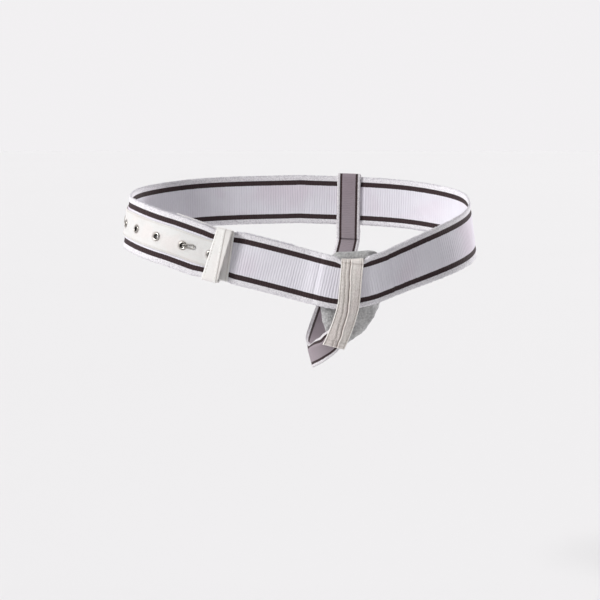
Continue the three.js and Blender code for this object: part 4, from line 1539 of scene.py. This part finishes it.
@dataclass
class GroinPad:
    """The stuffed pad behind the belt."""

    course: BeltCourse
    height: float = 97
    thick: float = 25
    crown: float = 7
    below: float = 19.5
    loop_thick: float = 1.3
    shrink: float = 0.98
    rings: int = 42
    around: int = 96
    pressure: float = 4.0
    frames: int = 20
    cap: float = 3.0
    forward_cap: float = 0.4

    def build(self) -> bpy.types.Object:
        """The pad: a rounded outline filled to a slightly crowned front and a domed back, blown up as cloth.

        Returns:
            The pad.
        """
        piece = self.shell()
        piece = self.inflate(piece)
        dress(piece, CottonFinish("brushed cotton").material(), "pad_cotton", "groin_pad")
        return piece

    def shell(self) -> bpy.types.Object:
        """The pad's shell before it is blown up: rings from the front's middle over the rim to the back's.

        Returns:
            The shell.
        """
        c = self.course
        corners = np.column_stack([PAD_OUTLINE * (c.pad_width, self.height), np.zeros(len(PAD_OUTLINE))])
        outline = smooth_curve(corners, np.linspace(0, 1, self.around + 1), closed=True)[:-1]
        seat = self.loop_thick + 4 * c.gap
        turn = np.linspace(0.0, math.pi, self.rings)
        share = np.sin(turn) ** 0.8
        share[0] = share[-1] = 0.004
        front = turn < math.pi / 2
        rim = (1 - np.clip(share, 0, 1) ** 3) ** 0.5
        depth = np.where(front, self.crown * (1 - rim), self.crown + (self.thick - self.crown) * rim)
        size = self.shrink * share[:, None]
        x = c.pad_at + size * outline[:, 0]
        z = c.pad_height - self.below + size * outline[:, 1]
        return tube_object("groin_pad_cover", c.off_face(x, z, -seat - depth[:, None] - 0.4))

    def inflate(self, piece: bpy.types.Object) -> bpy.types.Object:
        """Blows the shell up as cloth, holds it back at the belt, and keeps the result as plain faces.

        Args:
            piece: The shell.

        Returns:
            The pad.
        """
        scene = bpy.context.scene
        remesh = piece.modifiers.new("even", "REMESH")
        remesh.mode, remesh.voxel_size = "VOXEL", 0.0042
        graph = bpy.context.evaluated_depsgraph_get()
        even = bpy.data.meshes.new_from_object(piece.evaluated_get(graph))
        bpy.data.objects.remove(piece)
        work = bpy.data.objects.new("pad_work", even)
        scene.collection.objects.link(work)
        rest = np.empty(len(even.vertices) * 3)
        even.vertices.foreach_get("co", rest)
        cloth = work.modifiers.new("blow", "CLOTH")
        cloth.settings.use_pressure = True
        cloth.settings.uniform_pressure_force = self.pressure
        cloth.settings.effector_weights.gravity = 0.0
        for frame in range(1, self.frames + 1):
            scene.frame_set(frame)
        graph = bpy.context.evaluated_depsgraph_get()
        blown = bpy.data.meshes.new_from_object(work.evaluated_get(graph))
        moved = np.empty(len(blown.vertices) * 3)
        blown.vertices.foreach_get("co", moved)
        rest, moved = rest.reshape(-1, 3) / MM, moved.reshape(-1, 3) / MM
        shift = moved - rest
        size = np.linalg.norm(shift, axis=1, keepdims=True)
        shift = shift * np.minimum(1.0, self.cap / np.maximum(size, 1e-9))
        forward = np.array([0.0, -1.0, 0.0])
        toward = shift @ forward
        shift -= np.maximum(toward - self.forward_cap, 0.0)[:, None] * forward
        faces = [tuple(face.vertices) for face in blown.polygons]
        bpy.data.objects.remove(work)
        scene.frame_set(1)
        pad = new_object("groin_pad_cover", rest + shift, faces)
        smooth = pad.modifiers.new("smooth", "SUBSURF")
        smooth.levels = smooth.render_levels = 2
        return pad


@dataclass
class PadLoop:
    """The leather strap that carries the pad: folded to the middle, with a sewn groove inside each edge."""

    course: BeltCourse
    width: float = 20.4
    thick: float = 1.3
    rows: int = 64
    edge_round: float = 0.7
    below_belt: float = 34.3
    sweep: float = 15.6
    swing: float = 1.45
    turn_height: float = 0.3
    square: float = 0.6
    back_length: float = 38
    leg_thick: float = 1.8
    grooves: tuple[float, float] = (-8.9, 8.7)
    sewn_beside: float = 4.1
    top_row: float = 1.2
    hem_rows: tuple[float, float] = (2.2, 5.4)

    def __post_init__(self) -> None:
        """Works out the loop's top and end, and its distances off the face."""
        c = self.course
        self.outer, self.inner = c.thick + 3.5 * c.gap, -2 * c.gap - self.thick
        self.settled = c.gap + self.leg_thick + 5 * c.gap
        lean = c.leaning(c.bearing_across(np.array([c.pad_at])))[0]
        self.top = c.pad_height + (c.width / 2 - c.loop_dent) * math.cos(lean)
        self.end = c.foot - self.below_belt

    def middle_at(self, z: Array) -> Array:
        """Distance across of the loop's middle line: a slant, and below the belt a power curve.

        Args:
            z: Heights.

        Returns:
            The distance across at each.
        """
        c = self.course
        bend = c.pad_height - 0.7 * (c.width / 2)
        past = np.maximum(0, bend - z) / (bend - self.end)
        drift = self.sweep + c.loop_lean * (self.end - c.pad_height)
        return c.pad_at + c.loop_beside + c.loop_lean * (z - c.pad_height) - drift * past**self.swing

    def across_at(self, z: Array) -> Array:
        """Unit direction across the strap at a height, as distances across and up."""
        slope = (self.middle_at(z + 1) - self.middle_at(z - 1)) / 2
        return unit(np.stack([np.ones_like(slope), -self.square * slope], -1))

    def on_strap(self, z: Array, side: Array, out: Array) -> Array:
        """Points of the strap.

        Args:
            z: Heights of its middle line.
            side: Distances to the side of that.
            out: Distances off the face.

        Returns:
            The points.
        """
        across = self.across_at(z)
        x = self.middle_at(z) + side * across[..., 0]
        return self.course.off_face(x, z + side * across[..., 1], out)

    def crease(self, z: Array) -> Array:
        """Distance to the side at which the folds meet: a curve of the second degree in the way down."""
        t = np.clip((self.top - z) / (self.top - self.end), 0, 1)
        return -1.5 + 0.6 * t + 3.6 * t**2 + 0.35 * ripple(z, 36, 15)

    def lies_at(self, z: Array) -> Array:
        """Distance of the front strap off the face at a height: over the belt, then over the leg strap."""
        return self.outer + (self.settled - self.outer) * smooth_step(self.course.foot - z, 2, 12)

    def relief(self, side: Array, z: Array) -> tuple[Array, Array]:
        """The strap's face over its flat, as bells across it: a groove inside each folded edge, one sewn
        groove more on the -X side, a crease where the folds meet and the lip of the upper fold beside it.

        Args:
            side: Distances to the side.
            z: Heights of the middle line.

        Returns:
            Height of the face, and its tone: painted shade in the grooves, the crease and beside it, and
                paler edges and a painted highlight on the upper fold's lip.
        """
        meets = self.crease(z)
        sewn = meets - self.sewn_beside
        edges = sum(bell(side, groove, 0.4) for groove in self.grooves)
        groove = -0.32 * edges - 0.22 * bell(side, sewn, 0.6)
        rim = bell(side, 9.8, 0.6) + bell(side, -9.9, 0.6)
        crease = -0.6 * bell(side, meets, 0.45) + 0.5 * bell(side, meets + 1.15, 0.8)
        swells = bell(side, meets + 4.6, 2.2) + bell(side, meets - 6.0, 1.6) + bell(side, meets - 2.2, 1.1)
        # Painted shade in the grooves, in the crease and to its -X side; paler edges, and a painted highlight
        # on the upper fold's lip beside the crease.
        lines = 0.62 * edges + 0.5 * bell(side, sewn, 0.75) + 0.95 * bell(side, meets - 0.1, 0.5)
        tone = lines + 0.16 * bell(side, meets - 1.3, 1.2) - 0.8 * rim - 0.34 * bell(side, meets + 1.05, 0.6)
        return groove + 0.16 * rim + crease + 0.16 * swells, tone

    def over_edge(self, side: Array, share: Array, front: Array) -> tuple[Array, Array]:
        """The strap's turn over the belt's upper edge, on a flattened half circle.

        Args:
            side: The section's distances to the side.
            share: Its shares of the thickness.
            front: 1 for its front points.

        Returns:
            Rings of points, and their tone.
        """
        c = self.course
        middle = (self.outer + self.inner + self.thick) / 2
        radius = (self.outer - self.inner) / 2 - self.thick / 2
        turn = np.linspace(0, math.pi, 16)[1:-1, None]
        x = self.middle_at(np.array(self.top)) + side
        bearing = c.bearing_across(x)
        edge = c.height(bearing) + (c.width / 2 - c.loop_dent) * np.cos(c.leaning(bearing))
        ease = np.linspace(0, 1, len(turn))[:, None] ** 2
        face, tone = self.relief(side, np.array([[self.top]]))
        away = share * self.thick + face * front * ease
        z = edge + 2 * c.gap + (self.turn_height * radius + away) * np.sin(turn)
        return c.off_face(x, z, middle - (radius + away) * np.cos(turn)), tone * ease * front

    def down_front(self, z: Array, side: Array, share: Array, front: Array) -> tuple[Array, Array]:
        """The strap's run down the front: its sewn face, with a row across the top, two rows across the hem,
        and wrinkles that gather by them.

        Args:
            z: Heights of its rings.
            side: The section's distances to the side.
            share: Its shares of the thickness.
            front: 1 for its front points.

        Returns:
            Rings of points, and their tone.
        """
        face, tone = self.relief(side, z)
        rows = sum(bell(z, self.end + row, 0.5) for row in self.hem_rows)
        fold = bell(z, self.top - self.top_row, 0.45)
        hem = smooth_step(z, self.end + 1.0, self.end)
        pucker = bell(z, self.end + 8, 6) * ripple(side + 0.25 * z, 33, 3.4)
        wrinkle = 0.12 * ripple(z + 3, 31, 13) + 0.1 * ripple(z + 0.4 * side, 32, 9) + 0.14 * pucker
        raised = (face - 0.35 * fold - 0.24 * rows + wrinkle) * front
        points = self.on_strap(z, side, self.lies_at(z) + share * self.thick + raised)
        # Painted shade in the fold of the top row and in the hem's sewn rows; the hem's end is paler.
        return points, (tone + 0.7 * fold + 0.3 * rows - 0.9 * hem) * front

    def build(self, sewing: Sewing) -> bpy.types.Object:
        """The loop: its section carried up behind the belt, over the edge and down in front.

        Args:
            sewing: Takes its stitches.

        Returns:
            The loop.
        """
        side, share, front = strip_section(self.width, self.thick, self.rows, self.edge_round)
        behind = steps(self.top - self.back_length, self.top, 3)[:-1, None]
        down = steps(self.top, self.end, 0.8)[:, None]
        back = self.on_strap(behind, side, self.inner + self.thick * (1 - share))
        over, over_tone = self.over_edge(side, share, front)
        fore, fore_tone = self.down_front(down, side, share, front)
        tone = np.concatenate([np.zeros(back.shape[:2]), over_tone, fore_tone])
        level = np.concatenate([2 * self.top - behind, np.full((len(over), 1), self.top), down])
        points = np.concatenate([back, over, fore])
        piece = tube_object("pad_loop_leather", points, strip_map(level, side), tone)
        finish = LeatherFinish(
            "strap leather",
            ground=(0.82, 0.785, 0.75, 1),
            shade=(0.60, 0.54, 0.505, 1),
            groove=(0.21, 0.16, 0.14, 1),
            edge=(0.90, 0.88, 0.85, 1),
            blush=(0.80, 0.72, 0.70, 1),
            shine=0.52,
            wrinkled=0.9,
        )
        dress(piece, finish.material(), "cream_leather", "pad_loop")
        self.sew(sewing)
        return piece

    def sew(self, sewing: Sewing) -> None:
        """Rows of stitches down the grooves, across the top, and twice across the lower end.

        Args:
            sewing: Takes the stitches.
        """
        z = steps(self.top - 3, self.end + 1.5, 1.2)
        side = steps(-8.4, 8.4, 1.0)
        down = [(z, at) for at in (*self.grooves, self.crease(z) - self.sewn_beside)]
        across = [(self.top - self.top_row, side)] + [(self.end + row, side) for row in self.hem_rows]
        for level, at in (np.broadcast_arrays(*pair) for pair in down + across):
            height = self.lies_at(level) + self.thick - 0.24
            path = self.on_strap(level, at, height)
            sewing.add(path, unit(self.on_strap(level, at, height + 1) - path))


# Stations under the ring: share of the way across, of the way back and of the drop, and in degrees the
# strap's twist and its edge's curl.
LEG_ROUTE = np.array(
    [
        (0.36, 0.08, 0.45, 40, 95),
        (0.24, 0.18, 0.76, 66, 80),
        (0.2, 0.37, 1.0, 72, 40),
        (0.28, 0.575, 0.58, 48, 0),
        (0.5, 0.765, -0.9, 24, 0),
        (0.78, 0.93, -3.1, 8, 0),
    ]
)


@dataclass
class LegStrap:
    """The elastic strap from the leather's end under the ring's middle and round the belt's back."""

    course: BeltCourse
    loop: PadLoop
    width: float = 24
    thick: float = 1.8
    rows: int = 34
    edge_round: float = 1.1
    margin: float = 2.9
    stripe: float = 2.3
    rib_pitch: float = 1.8
    sink: float = 0.2
    sunk_inset: float = 4.1
    edge_wave: float = 0.2
    overlap: float = 17
    offset: float = -4.2
    drop: float = 17
    curl_start: float = 90
    back_at: float = 50
    tail: float = 14
    ease: float = 0.5
    curl_width: float = 8
    gather: float = 0.55
    per_span: int = 16

    def stations(self) -> tuple[Array, Array, Array, Array]:
        """Stations of the strap's middle line: under the leather, along the route and round the belt's back.

        Returns:
            Points, directions across the strap, and in radians its twist and its edge's curl.
        """
        c, loop = self.course, self.loop
        z = steps(loop.end + self.overlap, loop.end, self.overlap / 3)
        across = loop.across_at(z)
        x = loop.middle_at(z) + self.offset * across[:, 0]
        first = c.off_face(x, z + self.offset * across[:, 1], self.thick / 2 + c.gap)
        one, two = (c.off_face(x + k * across[:, 0], z + k * across[:, 1], 0.0) for k in (1, -1))
        settle = smooth_step(loop.end + self.overlap - z, 0, self.overlap)
        quarter = (c.lengths > c.around / 4) & (c.lengths < c.around / 2 - 1)
        back_length = float(np.interp(-self.back_at, -c.points[quarter, 0], c.lengths[quarter]))
        back = c.frames(np.array(back_length))
        route = np.stack(
            [
                LEG_ROUTE[:, 0] * self.back_at,
                first[-1, 1] + (c.ring_back - first[-1, 1]) * LEG_ROUTE[:, 1],
                first[-1, 2] - LEG_ROUTE[:, 2] * self.drop,
            ],
            1,
        )
        reach = c.width / 2
        outside, inside = c.thick + self.ease + self.thick / 2, -self.ease - self.thick / 2
        sewn, middle, radius = outside - 1.4, (outside + inside) / 2, (outside - inside) / 2
        turn = np.radians([45, 90, 135])
        rise = [-reach - self.tail, -reach - 2, 0, reach - 1]
        up = np.concatenate([rise, reach - 0.1 + radius * np.sin(turn), rise[::-1]])
        tucked = sewn - self.thick - 2 * c.gap
        arc = middle + radius * np.cos(turn)
        out = np.concatenate([[sewn], [outside] * 3, arc, [inside] * 3, [tucked]])
        last = back.at(0.0, up, out)
        points = np.concatenate([first, route, last])
        rest = len(route) + len(last)
        sides = np.concatenate([unit(one - two), np.repeat(-back.along[None], rest, 0)])
        twist = np.concatenate([np.zeros(len(first)), LEG_ROUTE[:, 3], np.zeros(len(last))])
        curl = np.concatenate([self.curl_start * settle, LEG_ROUTE[:, 4], np.zeros(len(last))])
        return points, sides, np.radians(twist), np.radians(curl)

    def rolled(self, across: Array, away: Array, curl: Array) -> tuple[Array, Array]:
        """The section with its -X edge rolled: past the flat part a point lies on an arc of the curl's angle.

        Args:
            across: Distances across.
            away: Distances out.
            curl: The curl's angle at each ring.

        Returns:
            Distances across and out.
        """
        flat = self.width / 2 - self.curl_width
        share = np.maximum(0, -flat - across) / self.curl_width
        bend = np.maximum(curl * share, 1e-6)
        radius = self.curl_width * share / bend
        lateral = np.where(share > 0, -flat - (radius + away) * np.sin(bend), across)
        depth = np.where(share > 0, -radius * (1 - np.cos(bend)) + away * np.cos(bend), away)
        return lateral, depth

    def build(self) -> bpy.types.Object:
        """The strap: its section carried along a smooth curve, turned by the twist, and gathered at its start
        under the leather.

        Returns:
            The strap.
        """
        points, sides, twist, curl = self.stations()
        spans = len(points) - 1
        order = np.arange(spans + 1)
        place = np.linspace(0, spans, spans * self.per_span + 1)
        path = smooth_curve(points, place / spans)
        gone = run_lengths(path)
        before, after = (smooth_curve(points, place / spans + step) for step in (-1e-4, 1e-4))
        tangent = unit(after - before)
        side = np.stack([table_value(order, sides[:, k], place) for k in range(3)], -1)
        side = unit(side - tangent * (side * tangent).sum(-1, keepdims=True))
        turn = table_value(order, twist, place)[:, None]
        side = side * np.cos(turn) + np.cross(tangent, side) * np.sin(turn)
        out = unit(np.cross(tangent, side))
        half = self.width / 2
        across, share, front = strip_section(self.width, self.thick, self.rows, self.edge_round)
        sunk = self.sink * bell(np.abs(across), half - self.sunk_inset, 0.9)
        away = (share - 0.5) * self.thick - sunk * np.where(front > 0, 1, -1)
        edge = smooth_step(np.abs(across), half - 2, half) * np.sign(across)
        waved = across + self.edge_wave * edge * ripple(gone, 41, 3.2)[:, None]
        lateral, depth = self.rolled(waved, away, table_value(order, curl, place)[:, None])
        gathered = self.gather * (1 - smooth_step(gone, 5, self.overlap + 2))[:, None]
        lateral = lateral * (1 - gathered * (lateral < 0))
        mesh = path[:, None] + side[:, None] * lateral[..., None] + out[:, None] * depth[..., None]
        piece = tube_object("leg_strap_cloth", mesh, strip_map(gone[:, None], across))
        # The leg strap's colours are darker than the belt's: partly its own darker mauve ground, partly
        # painted shade of where it runs between the legs.
        finish = ElasticFinish(
            "leg elastic",
            half,
            self.margin,
            self.stripe,
            self.rib_pitch,
            ground=(0.31, 0.265, 0.29, 1),
            blush=(0.30, 0.24, 0.275, 1),
            shade=(0.20, 0.17, 0.19, 1),
            loops=(0.74, 0.72, 0.74, 1),
            loop_shade=(0.48, 0.45, 0.48, 1),
        )
        dress(piece, finish.material(), "elastic", "leg_strap")
        return piece


@dataclass
class SoftLight:
    """A far light with a wide disc, which lights the belt and the floor evenly."""

    name: str
    azimuth: float
    elevation: float
    spread: float
    strength: float
    colour: tuple[float, float, float] = (1.0, 1.0, 1.0)

    def build(self) -> None:
        """Turns the light to the origin from its bearing: 0 is the front and 90 is +X."""
        lamp = bpy.data.lights.new(self.name, "SUN")
        lamp.energy, lamp.angle, lamp.color = self.strength * math.pi, math.radians(self.spread), self.colour
        made = bpy.data.objects.new(self.name, lamp)
        made.rotation_euler = (math.radians(90 - self.elevation), 0, math.radians(self.azimuth))
        bpy.context.scene.collection.objects.link(made)


@dataclass
class Studio:
    """Camera, lights, sky and floor, in metres."""

    elevation: float = 4.0
    distance: float = 2.5
    pixel: float = 0.000985
    pixels: int = 600
    sensor: float = 36.0
    look_at: tuple[float, float, float] = (0.0, 0.0, -0.06)
    floor_below: float = 0.36
    floor_size: float = 40.0
    back_sky: float = 0.885
    front_sky: float = 0.06
    overhead: float = 0.1
    lights: tuple[SoftLight, ...] = (
        SoftLight("key light", -60, 27, 18, 0.96, (1.0, 0.995, 0.985)),
        SoftLight("right rim", 122, 12, 12, 0.78, (1.0, 0.98, 0.99)),
    )

    def build(self) -> None:
        """Sets up the view and the light."""
        scene = bpy.context.scene
        scene.view_settings.view_transform = "Standard"
        target = np.array(self.look_at)
        tilt = math.radians(self.elevation)
        lens = bpy.data.cameras.new("camera")
        lens.sensor_width = self.sensor
        lens.lens = self.sensor * self.distance / self.pixel / self.pixels
        camera = bpy.data.objects.new("camera", lens)
        camera.location = target + self.distance * np.array([0, -math.cos(tilt), math.sin(tilt)])
        camera.rotation_euler = (math.radians(90) - tilt, 0, 0)
        scene.collection.objects.link(camera)
        scene.camera = camera
        for light in self.lights:
            light.build()
        self.sky()
        self.floor()

    def sky(self) -> None:
        """Even light all round, dimmer from the front than from the back and a little brighter overhead."""
        world = bpy.data.worlds.new("studio")
        g = Graph(world)
        way = g.node("ShaderNodeSeparateXYZ", None, _0=g.node("ShaderNodeTexCoord").outputs["Generated"])
        backward, upward = Value(g, way.outputs[1]), Value(g, way.outputs[2])
        strength = backward.climb(-0.4, 0.5) * (self.back_sky - self.front_sky) + self.front_sky
        strength = strength + upward.climb(0.05, 0.7) * self.overhead
        light = g.node("ShaderNodeBackground", None, Color=(1.0, 0.985, 1.0, 1.0), Strength=strength)
        g.node("ShaderNodeOutputWorld", None, Surface=light.outputs[0])
        bpy.context.scene.world = world

    def floor(self) -> None:
        """A wide pale floor under the belt."""
        size, low = self.floor_size / MM, -self.floor_below / MM
        corners = np.array([(-size, -size, low), (size, -size, low), (size, size, low), (-size, size, low)])
        plane = new_object("floor", corners, [(0, 1, 2, 3)], smooth=False)
        g = Graph(bpy.data.materials.new("pale floor"))
        cloud = g.noise(0.8, 3)
        colour = g.mix(cloud, (0.755, 0.755, 0.76, 1), (0.745, 0.745, 0.75, 1))
        plane.data.materials.append(g.surface(colour, None, 0.0, Roughness=0.9))


def main() -> None:
    logging.basicConfig(level=logging.INFO, format="%(message)s")
    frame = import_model()
    LOG.info("frame: %d nodes", len(frame["nodes"]))
    Studio().build()
    course = BeltCourse()
    sewing = Sewing()
    ElasticBelt(course).build()
    EdgeFuzz(course).build()
    Closure(course).build(sewing)
    GroinPad(course).build()
    loop = PadLoop(course)
    loop.build(sewing)
    LegStrap(course, loop).build()
    thread = ThreadFinish("sewing thread", (0.78, 0.75, 0.70, 1), (0.60, 0.56, 0.51, 1)).material()
    dress(sewing.build("stitches"), thread, "cream_leather")


if __name__ == "__main__":
    main()
